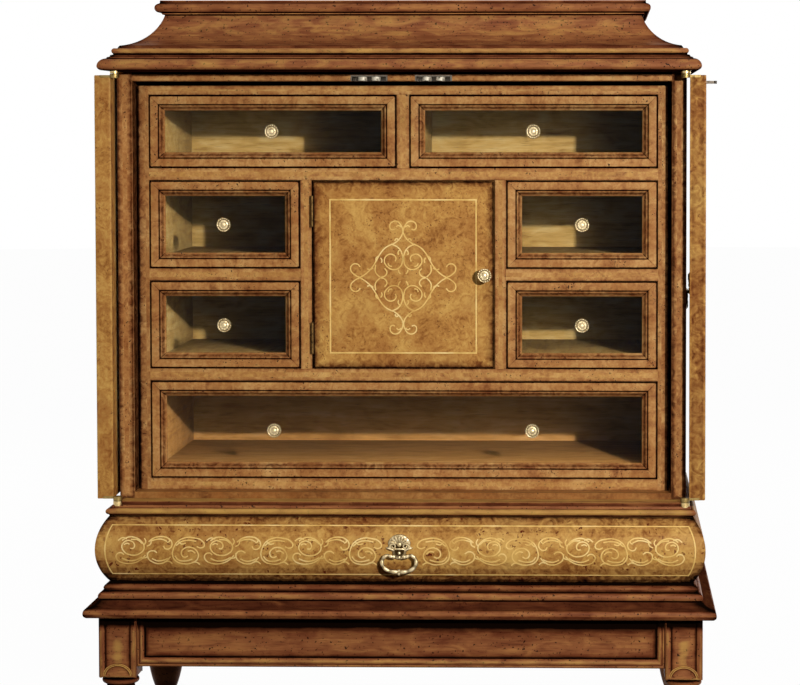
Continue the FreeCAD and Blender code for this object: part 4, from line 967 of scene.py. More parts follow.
# %% Scroll drawings
# Each stroke lists the points it passes, then its half width at the start, the middle and the end.
RUNNING_SCROLL = [
    ([(-46, 12), (-39, 16), (-31, 16), (-22, 11), (-18.5, 3), (-24, -4), (-34, -6), (-43, -2), (-46, 5),
      (-42, 11), (-35, 11.5), (-30.5, 7), (-32, 2.5), (-35.5, 2.5)], (0.4, 0.75, 1.3)),
    ([(-17, -6), (-23, -12), (-33, -16.5), (-44, -16.5), (-52, -12), (-53, -6), (-47.5, -3), (-43.5, -5.5)],
     (0.4, 0.75, 0.6)),
    ([(-13, 10.5), (-7, 15), (2, 17), (11, 15), (16, 9), (14, 3), (8, 2), (5.5, 5.5)], (0.4, 0.75, 1.1)),
    ([(14, -8), (9, -13.5), (1, -17), (-8, -15), (-14, -9), (-13, -2.5), (-7, -0.5), (-2.5, -3)],
     (0.4, 0.75, 0.9)),
    ([(18, 3), (22, 10), (32, 15.5), (43, 15.5), (53, 12), (56, 6), (51.5, 3.2), (46.5, 5)],
     (0.5, 0.8, 0.9)),
    ([(18, 3), (16.5, -5), (20, -13), (29, -17), (40, -16), (48, -9.5), (47, -1), (39, 4), (30.5, 2),
      (27.5, -4), (31, -8.5), (36, -7)], (0.5, 0.8, 1.4)),
    ([(-19, 6), (-16.5, 11), (-18.5, 15)], (0.3, 0.7, 0.2)),
    ([(-20, -10), (-15, -8), (-14.5, -3)], (0.3, 0.7, 0.2)),
    ([(-10, 13), (-10.5, 8), (-15, 5)], (0.3, 0.7, 0.2)),
    ([(24, 11), (28, 8), (33, 9)], (0.3, 0.7, 0.2)),
    ([(40, -15.5), (46, -15), (50, -18)], (0.3, 0.7, 0.2)),
    ([(6, -15), (12, -14), (16, -17)], (0.3, 0.7, 0.2)),
    ([(-40, 14), (-45, 15.5), (-51, 12)], (0.3, 0.6, 0.2)),
    ([(10, 16), (13, 12), (10, 9.5)], (0.3, 0.6, 0.2)),
    # Long leaves that lie inside the curves.
    ([(-21, 8.5), (-26, 12.5), (-35, 13.6)], (0.1, 0.8, 0.1)),
    ([(-21, -8.5), (-29, -12.4), (-38, -13.2), (-46, -10)], (0.1, 0.8, 0.1)),
    ([(-10, 11.5), (-4, 13.4), (3, 13.8), (10, 11)], (0.1, 0.8, 0.1)),
    ([(11, -10), (5, -12.6), (-2, -13.4), (-9, -10.4)], (0.1, 0.8, 0.1)),
    ([(21, 6), (28, 11), (36, 12.6), (46, 11.4)], (0.1, 0.8, 0.1)),
    ([(19.6, -7), (24, -12.2), (32, -13.4), (41, -11)], (0.1, 0.8, 0.1)),
    ([(-43.5, 7), (-40, 8.6), (-36.5, 7.6)], (0.1, 0.9, 0.2)),
    ([(45, -3.5), (40.5, -0.4), (35.5, -1)], (0.1, 0.9, 0.2)),
]
DIAMOND_SCROLL = [
    ([(0, 57), (1.8, 64), (7.5, 70.4), (13.6, 69.8), (16.6, 65.4), (14.8, 60.4), (10.6, 60.6)],
     (0.7, 0.7, 0.9)),
    ([(0, 58), (1.6, 53), (6, 47), (12.6, 42)], (0.7, 0.6, 0.4)),
    ([(14.5, 42), (6.3, 37.8), (1.5, 30), (0.8, 21), (4, 13.4), (11.5, 10), (20, 13.8), (23.6, 21.6),
      (19.6, 28.4), (13.2, 29), (9, 24.8), (10, 20.4)], (0.4, 0.75, 1.2)),
    ([(13, 42.3), (22, 37.6), (29, 29.6), (34, 20.6), (39.6, 12), (46.6, 5), (54.5, 0)], (0.4, 0.75, 0.7)),
    ([(54, 0), (60.4, 3.2), (66, 10.2), (63.6, 16.2), (57.4, 16.9), (54, 13.4)], (0.7, 0.7, 0.9)),
    ([(34.6, 16), (34.8, 7.2), (29.4, 0.6)], (0.4, 0.7, 0.5)),
    ([(23.2, 11.6), (20.4, 7), (23, 2), (28.6, 0.2)], (0.9, 0.7, 0.5)),
]
DIAMOND_LEAVES = [
    [(3.4, 4.6), (5.2, 6.8), (6.2, 10)], [(37.6, 12.4), (41.2, 10.2), (45.4, 10.8)],
    [(28.4, 25), (26.6, 22), (27.2, 18.6)], [(5.8, 47.6), (8.6, 48.8), (10.4, 46.2)],
    [(4.6, 34.6), (6.4, 31.4), (5.8, 28.4)], [(14, 14), (17.4, 15), (19, 18)],
    [(31, 27), (33.8, 24.6), (34.2, 21)], [(2.6, 63.4), (5.8, 65.4), (8.6, 63.6)],
]
DIAMOND_SCROLL += [(points, (0.2, 0.6, 0.3)) for points in DIAMOND_LEAVES]
print("strokes:", len(RUNNING_SCROLL), "running,", len(DIAMOND_SCROLL), "in the diamond")

# %% Inlay tree
# Each stroke lies a hair above the one before, so that crossings never flicker; so does the mirror image.
STROKE_STEP, MIRROR_STEP = 0.004, 2e-6
INLAY_WIDTH, INLAY_THICK = 0.0016, 0.0004


def drawn(name, strokes, weight=1.0, handles="AUTO"):
    """A flat curve object with one spline for each stroke; weight thickens or thins its lines."""
    data = bpy.data.curves.new(name, "CURVE")
    data.dimensions = "3D"
    data.resolution_u = 6
    for order, (points, widths) in enumerate(strokes):
        spline = data.splines.new("BEZIER")
        spline.bezier_points.add(len(points) - 1)
        for number, (knot, (u, v)) in enumerate(zip(spline.bezier_points, points)):
            knot.co = (u * MM, v * MM, STROKE_STEP * MM * order)
            knot.handle_left_type = knot.handle_right_type = handles
            share = number / (len(points) - 1)
            knot.radius = weight * float(np.interp(share, (0, 0.5, 1), widths))
    obj = bpy.data.objects.new(name, data)
    scene.collection.objects.link(obj)
    return obj


def inlay_tree():
    """Repeat a drawn motif along X, mirror it, give its lines width and bend them about X."""
    tree = bpy.data.node_groups.new("inlay", "GeometryNodeTree")
    kinds = {"Base": "Geometry", "Motif": "Object", "Copies": "Int", "First place": "Vector",
             "Period": "Vector", "Mirror across": "Vector", "Bend radius": "Float", "Finish": "Material"}
    keys = {name: socket(tree, name, kind) for name, kind in kinds.items()}
    tree.interface.new_socket(name="Inlay", in_out="OUTPUT", socket_type="NodeSocketGeometry")
    source = add(tree, "NodeGroupInput").outputs
    motif = add(tree, "GeometryNodeObjectInfo", {"Object": source["Motif"]})
    line = add(tree, "GeometryNodeMeshLine", {
        "Count": source["Copies"], "Start Location": source["First place"], "Offset": source["Period"]})
    copies = add(tree, "GeometryNodeInstanceOnPoints", {
        "Points": line.outputs["Mesh"], "Instance": motif.outputs["Geometry"]})
    real = add(tree, "GeometryNodeRealizeInstances", {"Geometry": copies.outputs["Instances"]})
    other = add(tree, "GeometryNodeTransform", {
        "Geometry": real.outputs["Geometry"], "Scale": source["Mirror across"],
        "Translation": (0.0, 0.0, MIRROR_STEP)})
    pair = add(tree, "GeometryNodeJoinGeometry")
    tree.links.new(other.outputs["Geometry"], pair.inputs["Geometry"])
    tree.links.new(real.outputs["Geometry"], pair.inputs["Geometry"])
    level = add(tree, "GeometryNodeSetCurveNormal", {"Curve": pair.outputs["Geometry"]}, mode="Z_UP")
    section = add(tree, "GeometryNodeCurvePrimitiveQuadrilateral", {
        "Width": INLAY_WIDTH, "Height": INLAY_THICK})
    lines = add(tree, "GeometryNodeCurveToMesh", {
        "Curve": level.outputs["Curve"], "Profile Curve": section.outputs["Curve"], "Fill Caps": True})
    place = add(tree, "GeometryNodeInputPosition").outputs["Position"]
    spot = add(tree, "ShaderNodeSeparateXYZ", {"Vector": place}).outputs
    angle = add(tree, "ShaderNodeMath", {0: spot["Y"], 1: source["Bend radius"]}, operation="DIVIDE")
    out = add(tree, "ShaderNodeMath", {0: source["Bend radius"], 1: spot["Z"]}, operation="ADD")
    turns = []
    for way in ("COSINE", "SINE"):
        turned = add(tree, "ShaderNodeMath", {0: angle}, operation=way)
        turns.append(add(tree, "ShaderNodeMath", {0: turned, 1: out}, operation="MULTIPLY"))
    towards = add(tree, "ShaderNodeMath", {0: turns[0], 1: -1.0}, operation="MULTIPLY")
    bent = add(tree, "ShaderNodeCombineXYZ", {"X": spot["X"], "Y": towards, "Z": turns[1]})
    laid = add(tree, "GeometryNodeSetPosition", {
        "Geometry": lines.outputs["Mesh"], "Position": bent.outputs["Vector"]})
    finished = add(tree, "GeometryNodeSetMaterial", {
        "Geometry": laid.outputs["Geometry"], "Material": source["Finish"]})
    add(tree, "NodeGroupOutput", {"Inlay": finished.outputs["Geometry"]})
    return tree, keys


inlay, inlay_keys = inlay_tree()


def laid_inlay(name, motif, body, axis, radius, copies=1, first=0.0, period=0.0):
    """Lay a motif on a face; axis is the point in metres that the face bends round, along X."""
    values = {"Motif": motif, "Copies": copies, "First place": (first * MM, 0, 0),
              "Period": (period * MM, 0, 0), "Mirror across": (-1, 1, 1), "Bend radius": radius,
              "Finish": boxwood}
    values = {inlay_keys[key]: value for key, value in values.items()}
    mesh = grown(bpy.data.meshes.new(name), inlay, values)
    outward(mesh)
    mesh.transform(Matrix.Translation(axis))
    obj = dress(mesh, name, boxwood, body, "marquetry_panel")
    bpy.data.objects.remove(motif)
    return obj


# %% Scroll on the cupboard door
# A flat face bends round an axis so far off, in metres, that the bend is lost.
FLAT = 50.0
DIAMOND_LEVEL, DIAMOND_WEIGHT = 0.5915, 0.92
mirrored = [([(u, -v) for u, v in points], widths) for points, widths in DIAMOND_SCROLL]
diamond = drawn("diamond_motif", DIAMOND_SCROLL + mirrored, DIAMOND_WEIGHT)
diamond_axis = (0, FACE * MM + FLAT, DIAMOND_LEVEL)
scroll = laid_inlay("cupboard_door_scroll", diamond, "cupboard_door", diamond_axis, FLAT)
print("door scroll:", len(scroll.data.polygons), "faces")

# %% [markdown]
# ## Bombe drawer
# The stand's drawer swells like a cushion. Its front is the frieze section mitred at the two ends; a
# string runs along it and follows the swelling ends, and the running scroll fills the field on both
# sides of the pull.

# %% Bombe front, rails and box
FRONT_BACK = -154.0
RAIL_FRONT = FRONT_BACK + 0.6
RAIL_INNER, RAIL_FOOT, RAIL_HEAD = 337.5, 217.0, 299.0
stacked("bombe_drawer_front", "bombe", back=FRONT_BACK, sheet=90.0, bare_ends=True).make(
    bombe_veneer, "stand_drawer", "marquetry_panel", "stand_drawer_front")

# The rails have the drawer's section, a millimetre taller.
RAIL_STRETCH = 81.8 / 80.8
RAIL_DROP = 217.05 - 217.6 * RAIL_STRETCH
rail_section = profiles["bombe"] * np.array([1, RAIL_STRETCH]) + np.array([0, RAIL_DROP])
rails = Piece("frieze_rail_boards")
for side in (1, -1):
    rings = []
    for out, z in rail_section:
        inner, outer = side * RAIL_INNER, side * (LINE_HALF + out)
        rings.append([(inner, RAIL_FRONT, z), (outer, RAIL_FRONT, z), (outer, BACK, z), (inner, BACK, z)])
    rails.loft(rings, reliefs["bombe"], sheet=93.0 + side)
slab(rails, (-RAIL_INNER, BACK_BOARD, RAIL_FOOT), (RAIL_INNER, BACK, RAIL_HEAD), "+y", sheet=95.0)
rails.make(veneer, "cabinet", "antiqued_walnut", "frieze_rails")

# The tray's width, depth and height, its walls' thickness and its floor's level.
STAND_TRAY = ((-336.5, 336.5), (FRONT_BACK, TRAY_BACK), (217.3, 291), 10.0, 229.0)
box = tray(Piece("stand_drawer_tray"), *STAND_TRAY, sheet=97.0)
box.make(oak, "stand_drawer", "drawer_oak", "stand_drawer_box")
print("bombe drawer and rails made")

# %% Bombe string and scroll
# The swelling is an arc of this half height and rise.
ARC_HALF, ARC_RISE, SWELL = 40.4, 15.5, 21.5
BOMBE_RADIUS = (ARC_HALF ** 2 + ARC_RISE ** 2) / (2 * ARC_RISE)
BOMBE_MIDDLE = 0.258
BOMBE_AXIS = (0, -(LINE_FRONT + SWELL - BOMBE_RADIUS) * MM, BOMBE_MIDDLE)
STRING_LEVEL, STRING_INSET, STRING_HALF_WIDTH = 31.8, 12.5, 0.7
PERIOD, SCROLL_END, SCROLL_WEIGHT = 109.5, -352, 1.25


def bombe_edge(v):
    """How far out the string runs at a height along the swelling."""
    return LINE_HALF + SWELL - BOMBE_RADIUS * (1 - math.cos(v / BOMBE_RADIUS)) - STRING_INSET


end_heights = np.linspace(-STRING_LEVEL, STRING_LEVEL, 15)
outline = [(0, -STRING_LEVEL)] + [(bombe_edge(v), v) for v in end_heights] + [(0, STRING_LEVEL)]
string = drawn("string_motif", [(outline, [STRING_HALF_WIDTH] * 3)], handles="VECTOR")
laid_inlay("bombe_string", string, "stand_drawer", BOMBE_AXIS, BOMBE_RADIUS * MM)
running = drawn("running_motif", RUNNING_SCROLL, SCROLL_WEIGHT)
band = laid_inlay("bombe_scroll", running, "stand_drawer", BOMBE_AXIS, BOMBE_RADIUS * MM, copies=3,
                  first=SCROLL_END + PERIOD / 2, period=PERIOD)
print("bombe scroll:", len(band.data.polygons), "faces")

# %% [markdown]
# ## Main doors
# The two doors are folded right back, so the photograph shows only their thick edges. They are built
# shut, as the maker fits them, and then turned about the hinge pin into the open place.

# %% Main doors
PIVOT = Vector((352, -166, 0))
OPEN_TURN = Matrix.Rotation(math.radians(267.8), 4, "Z")
OPEN = Matrix.Translation(PIVOT) @ OPEN_TURN @ Matrix.Translation(-PIVOT)
MIRROR = Matrix.Diagonal((-1, 1, 1, 1))
OPEN_DOORS = {"right": OPEN, "left": MIRROR @ OPEN}
DOOR_LOW, DOOR_HIGH = Vector((1, -161, 319.2)), Vector((353.8, -141, 843.8))
# Each ring, from the back to the front: in from the edge, back from the face, relief.
DOOR_STEPS = [
    (20, 20, 0.5), (12, 20, 0.48), (5, 20, 0.45), (1.2, 20, 0.54), (0.35, 19.65, 0.58), (0, 18.8, 0.54),
    (0, 16.5, 0.46), (0, 12, 0.5), (0, 8, 0.5), (0, 3.5, 0.46), (0, 1.2, 0.54), (0.35, 0.35, 0.58),
    (1.2, 0, 0.54), (5, 0, 0.45), (12, 0, 0.48), (20, 0, 0.5)]
# Each door's edges: paler by painted light on the left, darker by painted shade on the right; and its leaf
# of veneer.
DOOR_EDGE_LIGHT_AND_SHADE = {"left": (0.05, 60.0), "right": (-0.075, 66.0)}
for side, place in OPEN_DOORS.items():
    rings = []
    for inset, back, value in DOOR_STEPS:
        x0, x1 = DOOR_LOW.x + inset, DOOR_HIGH.x - inset
        z0, z1 = DOOR_LOW.z + inset, DOOR_HIGH.z - inset
        y = DOOR_LOW.y + back
        rings.append([(x0, y, z0), (x1, y, z0), (x1, y, z1), (x0, y, z1)])
    painted_light_and_shade, leaf = DOOR_EDGE_LIGHT_AND_SHADE[side]
    relief = [value + painted_light_and_shade if inset < 1 else value for inset, back, value in DOOR_STEPS]
    door = Piece(side + "_door_board").loft(rings, relief, sheet=leaf, mitred=0.8)
    door.move(place).make(panel_veneer, side + "_door", "antiqued_walnut", side + "_door")
print("doors:", len(OPEN_DOORS))

# %% [markdown]
# ## Legs and aprons
# A leg is a square block over a ring and a top-shaped foot. The block's front and outer faces have a
# bead up each edge, a sunk panel between them and an arched lunette at its foot; the aprons have long
# sunk panels with a bead under them. Painted shade lies black in the sinkings and under the base.

# %% Turned feet and sunk faces
BLOCK_FOOT, BLOCK_HEAD = 98.2, 177.5
FOOT_SECTION = sampled([(0.4, 0), (9.5, 0), (23.2, 46, 17.03, 18.4), (16.8, 88.5, 20.51, 65.55),
                        (19.2, 88.5), (19.2, 96.5, 23.2, 92.5), (16.8, 96.5), (16.8, BLOCK_FOOT)], 1.4)
# The block above shades the ring, and a foot takes a little more painted shade than the mouldings.
block_above = [[23.0, BLOCK_FOOT + 0.1], [23.0, 120.0]]
MORE_PAINTED_SHADE = 0.06
foot_openness = openness(np.vstack([FOOT_SECTION, block_above]), reach=10.0)[1:-len(block_above)]
foot_relief = [0.4] + list(foot_openness - MORE_PAINTED_SHADE)
# Each step of a sunk face: inset from the sides, from the bottom and from the top, depth, relief.
LEG_STEPS = [
    (0, 0, 0, 3.4, 0.42), (0.25, 0.2, 0.1, 1.6, 0.46), (1.2, 0.8, 0.2, 0.45, 0.55),
    (2.6, 1.6, 0.3, 0, 0.58), (5.0, 2.4, 0.4, 0, 0.55), (6.6, 3.0, 0.6, 0.5, 0.48),
    (7.8, 3.4, 0.8, 1.7, 0.32), (8.5, 3.8, 1.0, 3.2, 0.12)]
APRON_STEPS = [
    (0, 0, 0, 18, 0.3), (0, 0, 0, 1.0, 0.3), (0.6, 0.8, 0.3, 0.1, 0.5), (1.8, 2.2, 0.6, -0.3, 0.58),
    (3.0, 3.6, 0.9, 0.5, 0.3), (3.9, 4.6, 1.2, -0.8, 0.52), (5.6, 6.8, 1.6, -1.6, 0.59),
    (7.6, 9.2, 2.0, -0.6, 0.56), (8.9, 10.8, 2.4, 1.4, 0.38), (9.8, 11.8, 3.0, 2.9, 0.1)]
# The shade under the base reaches down to these depths below a sinking's head.
SHADE_FULL, SHADE_END = 11, 21


def sunk_face(piece, a, b, place, sheet, steps, head_relief=0.16):
    """A face with a moulded sinking over the spans a and b; place turns (along, up, in) into a point."""
    rings, relief = [], []
    for inset, low, top, down, value in steps:
        left, right, foot, head = a[0] + inset, a[1] - inset, b[0] + low, b[1] - top
        full, end = b[1] - SHADE_FULL, b[1] - SHADE_END
        outline = ((left, foot), (right, foot), (right, end), (right, full), (right, head), (left, head),
                   (left, full), (left, end))
        rings.append([place(u, v, down) for u, v in outline])
        shade = min(value, head_relief)
        relief.append([value, value, value, shade, shade, shade, shade, value])
    return piece.loft(rings, relief, sheet=sheet)


# How much painted shade darkens a sunk panel at distances in from its foot, its head and its sides; at its
# head, under the base, it is near black.
FOOT_SHADE = ((0, 2.5, 6, 10), (0.32, 0.14, 0.05, 0))
HEAD_SHADE = ((0, 13, 18, 24, 34), (0.46, 0.36, 0.2, 0.08, 0))
SIDE_SHADE = ((0, 2.5, 6, 13), (0.34, 0.18, 0.07, 0))


def sunk_panel(piece, a, b, place, sheet, down, middle):
    """The panel in a sinking, in rows up its height: painted shade, black under the base and darker by its
    edges.
    """
    across = [a[0] + s for s in SIDE_SHADE[0]] + [a[1] - s for s in reversed(SIDE_SHADE[0])]
    rows = [b[0] + s for s in FOOT_SHADE[0]] + [b[1] - s for s in (34, 24, 18, 13, 0.2)]
    rings, relief = [], []
    for v in rows:
        rings.append([place(u, v, down) for u in across] + [place(u, v, down + 3) for u in (a[1], a[0])])
        foot = np.interp(v - b[0], *FOOT_SHADE)
        head = np.interp(b[1] - v, *HEAD_SHADE)
        sides = [np.interp(min(u - a[0], a[1] - u), *SIDE_SHADE) for u in across]
        relief.append([float(middle - max(foot, head, side)) for side in sides] + [0.2, 0.2])
    return piece.loft(rings, relief, sheet=sheet, flat=True)


# The lunette's rings: share of its size, depth, relief.
LUNETTE = ((1, 3.3, 0.2), (1, 0.8, 0.42), (0.975, 0.2, 0.62), (0.92, 0.2, 0.6), (0.9, 0.9, 0.3),
           (0.87, 0.1, 0.64), (0.82, 0.0, 0.6), (0.79, 0.9, 0.3), (0.7, 1.1, 0.42), (0.5, 0.6, 0.5),
           (0.03, 0.4, 0.52))
LUNETTE_FOOT = 99.6


def lunette(piece, middle, level, place, half=19.0, rise=16.5):
    """An arched boss with a raised rim, at the foot of a sunk panel."""
    turns = [math.pi * i / 28 for i in range(29)]
    rings = [[place(middle + size * half * math.cos(t), level + size * rise * math.sin(t), down)
              for t in turns] for size, down, value in LUNETTE]
    return piece.loft(rings, [value for size, down, value in LUNETTE], flat=True)


# %% Legs
LEG = 47.0
LEG_INNER, LEG_FRONT, LEG_REAR = 327.0, -186.5, 156.0
CORE_INSET, PANEL_INSET, PANEL_FOOT, PANEL_DEPTH = 3.3, 8.4, 102, 2.9
PANEL_RELIEF, PLAIN_RELIEF = 0.585, 0.42
plain_steps = [(*step[:4], PLAIN_RELIEF) for step in LEG_STEPS[:4]]


def leg(piece, x0, y0, panelled, sheet):
    """One leg whose block starts at x0, y0; panelled names its worked faces."""
    x1, y1 = x0 + LEG, y0 + LEG
    middle = Vector((x0 + LEG / 2, y0 + LEG / 2, 0))
    rings = [[middle + Vector((r * math.cos(t), r * math.sin(t), z)) for t in round_angles(40)]
             for r, z in FOOT_SECTION]
    piece.loft(rings, foot_relief, upright=True, sheet=sheet)
    slab(piece, (x0 + CORE_INSET, y0 + CORE_INSET, BLOCK_FOOT - 0.1),
         (x1 - CORE_INSET, y1 - CORE_INSET, BLOCK_HEAD - 0.1), "+z", 0.5, (), sheet=sheet + 0.3)
    faces = {"-y": ((x0, x1), lambda u, v, d: (u, y0 + d, v)),
             "+y": ((x0, x1), lambda u, v, d: (u, y1 - d, v)),
             "-x": ((y0, y1), lambda u, v, d: (x0 + d, u, v)),
             "+x": ((y0, y1), lambda u, v, d: (x1 - d, u, v))}
    for number, (face, (run, place)) in enumerate(faces.items()):
        leaf = sheet + 0.5 + number
        if face not in panelled:
            sunk_face(piece, run, (BLOCK_FOOT, BLOCK_HEAD), place, leaf, plain_steps, PLAIN_RELIEF)
            continue
        sunk_face(piece, run, (BLOCK_FOOT, BLOCK_HEAD), place, leaf, LEG_STEPS)
        sunk_panel(piece, (run[0] + PANEL_INSET, run[1] - PANEL_INSET), (PANEL_FOOT, BLOCK_HEAD), place,
                   leaf + 0.2, PANEL_DEPTH, PANEL_RELIEF)
        lunette(piece, sum(run) / 2, LUNETTE_FOOT, place)


legs = Piece("turned_legs")
right, left = (LEG_INNER, "+x"), (-LEG_INNER - LEG, "-x")
corners = ((right, LEG_FRONT), (left, LEG_FRONT), (right, LEG_REAR), (left, LEG_REAR))
for number, ((x0, outer), y0) in enumerate(corners):
    worked = (outer, "-y") if y0 == LEG_FRONT else (outer,)
    leg(legs, x0, y0, worked, 100.0 + 2 * number)
legs.make(walnut, "cabinet", "antiqued_walnut", "front_legs", "rear_legs")
print("legs:", len(corners))

# %% Aprons
APRON_HEIGHT = (112, BLOCK_HEAD)
APRON_FRONT, APRON_SIDE = LINE_FRONT + APRON_FACE, LINE_HALF + APRON_FACE
APRON_INSET, APRON_PANEL_FOOT, APRON_DEPTH, APRON_RELIEF = 9.7, 123.7, 2.6, 0.49
side_run = (LEG_FRONT + LEG, LEG_REAR)
aprons_round = (((-LEG_INNER, LEG_INNER), lambda u, v, d: (u, d - APRON_FRONT, v)),
                (side_run, lambda u, v, d: (APRON_SIDE - d, u, v)),
                (side_run, lambda u, v, d: (d - APRON_SIDE, u, v)))
aprons = Piece("apron_boards")
for number, (run, place) in enumerate(aprons_round):
    sunk_face(aprons, run, APRON_HEIGHT, place, 110.0 + number, APRON_STEPS)
    sunk_panel(aprons, (run[0] + APRON_INSET, run[1] - APRON_INSET), (APRON_PANEL_FOOT, BLOCK_HEAD), place,
               110.4 + number, APRON_DEPTH, APRON_RELIEF)
slab(aprons, (-LEG_INNER, BACK_BOARD, APRON_HEIGHT[0]), (LEG_INNER, BACK, APRON_HEIGHT[1]), "+y",
     sheet=115.0)
aprons.make(walnut, "cabinet", "antiqued_walnut", "aprons")
print("aprons:", len(aprons_round) + 1)

# %% [markdown]
# ## Bail pulls
# The pull is a cast plate, crowned by a palmette with a scroll on each side, and a bail like a flattened
# ring that hangs from its foot. The plate's outline is drawn for one half and lofted to a low dome; ribs,
# scrolls and bail are bars swept along short paths, swelling and thinning as a casting does.

# %% Pull helpers
# Half of the plate's outline, from its crown down: across, up from the pivot.
PLATE_HALF = [
    (0, 26.6), (4, 26.2), (8, 24.6), (11, 22), (13.2, 18.6), (14, 15), (13, 12.4), (14.6, 11.6),
    (16.6, 9.6), (13.4, 8.6), (10.4, 8.2), (8.6, 5.4), (8.2, 1.4), (6.8, -1.8), (4.6, -3.2),
    (2.2, -4.2), (0, -4.5)]
PLATE_MIDDLE = 11.0


def plate_ring(scale, y, x, pivot):
    """The plate's outline, scaled about its middle."""
    half = [(u * scale, PLATE_MIDDLE + (v - PLATE_MIDDLE) * scale) for u, v in PLATE_HALF]
    outline = half + [(-u, v) for u, v in half[-2:0:-1]]
    return [(x + u, y, pivot + v) for u, v in outline]


def smooth(points, count):
    """Points evenly spread along a smooth line through the given ones."""
    places = np.linspace(0, len(points) - 1, count)
    points = np.array(points, float)
    ends = np.vstack([2 * points[0] - points[1], points, 2 * points[-1] - points[-2]])
    result = []
    for place in places:
        k = min(int(place), len(points) - 2)
        t = place - k
        a, b, c, d = ends[k:k + 4]
        result.append(0.5 * (2 * b + (c - a) * t + (2 * a - 5 * b + 4 * c - d) * t ** 2
                             + (3 * b - a - 3 * c + d) * t ** 3))
    return [Vector(point) for point in result]


def bar(piece, path, radii, relief, count=12):
    """A bar along a path of points in a plane square to Y, with a radius and a relief at each."""
    rings = []
    for number, (point, radius) in enumerate(zip(path, radii)):
        way = (path[min(number + 1, len(path) - 1)] - path[max(number - 1, 0)]).normalized()
        across = way.cross(Vector((0, 1, 0))).normalized()
        up = across.cross(way)
        rings.append([point + radius * (math.cos(t) * across + math.sin(t) * up)
                      for t in round_angles(count)])
    return piece.loft(rings, relief, upright=True)


def boss(piece, centre, radius, flat):
    """A small domed boss towards -Y."""
    rings = []
    for i in range(7):
        t = math.pi / 2 * i / 6
        rings.append(circle(radius * max(0.03, math.cos(t)), radius * flat * math.sin(t), centre, 16))
    return piece.loft(rings, [0.3, 0.42] + [0.6] * 5, upright=True)


# %% Pull plate
# The plate's rings: scale, out from the face, relief. The bail's posts: out from the face, radius, relief.
PLATE_DOME = ((1, -6, 0.3), (1, 0.8, 0.4), (0.95, 1.5, 0.52), (0.82, 2.0, 0.4), (0.6, 2.2, 0.26),
              (0.1, 2.3, 0.24))
POST = ((0.4, 2.8, 0.3), (2.4, 2.4, 0.4), (4.6, 2.1, 0.45), (6.6, 2.3, 0.6), (7.6, 1.2, 0.6))
POST_ACROSS = 7.4
# The palmette's leaves: how many, the first one's angle, the angle between two, their length and spread.
LEAVES, FIRST_LEAF, LEAF_TURN, LEAF_LENGTH, LEAF_SPREAD = 7, 24, 22, 11.8, 1.16
# The scrolls: points, first angle, angle between points, radius at the start, places across and up.
CURL_POINTS, CURL_START, CURL_TURN, CURL_RADIUS, CURL_PLACE = 20, -110, 27, 4.6, (7.6, 12.0)
CURL_THICK, CURL_THINS, CURL_OUT = 1.25, 0.025, 2.3
# Bars, point by point. A leaf of the palmette: share of its length, out, radius, relief.
LEAF_BAR = ((0, 0, 0.5, 0.3), (0.35, 1.0, 1.0, 0.46), (0.75, 1.1, 1.75, 0.64), (1, 0, 0.8, 0.5))
LEAF_ROOT = (1.6, 14)
# The leaf at each side: across, out and up; then the radius and relief along it.
SIDE_LEAF = ((9, 1.8, 8.2), (12.6, 2.4, 9.4), (16.2, 1.6, 10.6))
SIDE_LEAF_BAR = ((1.0, 0.4), (1.3, 0.5), (1.4, 0.6), (1.4, 0.6), (1.3, 0.6), (1.1, 0.6), (0.8, 0.55),
                 (0.4, 0.5))
# The bar between the scrolls: across, radius, relief.
CROSS_BAR = ((-6.0, 0.7, 0.5), (-4.4, 1.3, 0.62), (-2, 1.0, 0.5), (0, 1.4, 0.64), (2, 1.0, 0.5),
             (4.4, 1.3, 0.62), (6.0, 0.7, 0.5))
CROSS_OUT, CROSS_UP = 2.6, 9.0
# The bosses: out from the face, up from the pivot, radius, flatness.
BOSSES = ((1.8, 14.4, 3.0, 0.7), (1.8, 3.8, 2.2, 0.8), (1.6, -1.8, 2.0, 0.7))


def pull_plate(name, x, face, pivot):
    """Plate, palmette, scrolls and bail posts on a face towards -Y."""
    piece = Piece(name)
    piece.loft([plate_ring(scale, face - out, x, pivot) for scale, out, value in PLATE_DOME],
               [value for scale, out, value in PLATE_DOME])
    root = Vector((x, face - LEAF_ROOT[0], pivot + LEAF_ROOT[1]))
    shares, outs, radii, relief = zip(*LEAF_BAR)
    for i in range(LEAVES):
        t = math.radians(FIRST_LEAF + LEAF_TURN * i)
        tip = root + LEAF_LENGTH * Vector((math.cos(t) * LEAF_SPREAD, 0, math.sin(t)))
        path = [root.lerp(tip, share) + Vector((0, -out, 0)) for share, out in zip(shares, outs)]
        bar(piece, path, radii, relief, 10)
    for side in (1, -1):
        curl = []
        for i in range(CURL_POINTS):
            t = math.radians(CURL_START + CURL_TURN * i)
            reach = CURL_RADIUS * (1 - i / 25)
            curl.append(Vector((x + side * (CURL_PLACE[0] + reach * math.cos(t)), face - CURL_OUT,
                                pivot + CURL_PLACE[1] + reach * math.sin(t))))
        bar(piece, curl, [CURL_THICK - CURL_THINS * i for i in range(CURL_POINTS)], [0.6] * CURL_POINTS, 10)
        leaf = smooth([(x + side * across, face - out, pivot + up) for across, out, up in SIDE_LEAF],
                      len(SIDE_LEAF_BAR))
        bar(piece, leaf, *zip(*SIDE_LEAF_BAR), 10)
        seat = (x + side * POST_ACROSS, face, pivot)
        piece.loft([circle(radius, out, seat, 18) for out, radius, value in POST],
                   [value for out, radius, value in POST], upright=True)
    places, radii, relief = zip(*CROSS_BAR)
    bar(piece, [Vector((x + u, face - CROSS_OUT, pivot + CROSS_UP)) for u in places], radii, relief)
    for out, up, radius, flat in BOSSES:
        boss(piece, (x, face - out, pivot + up), radius, flat)
    return piece


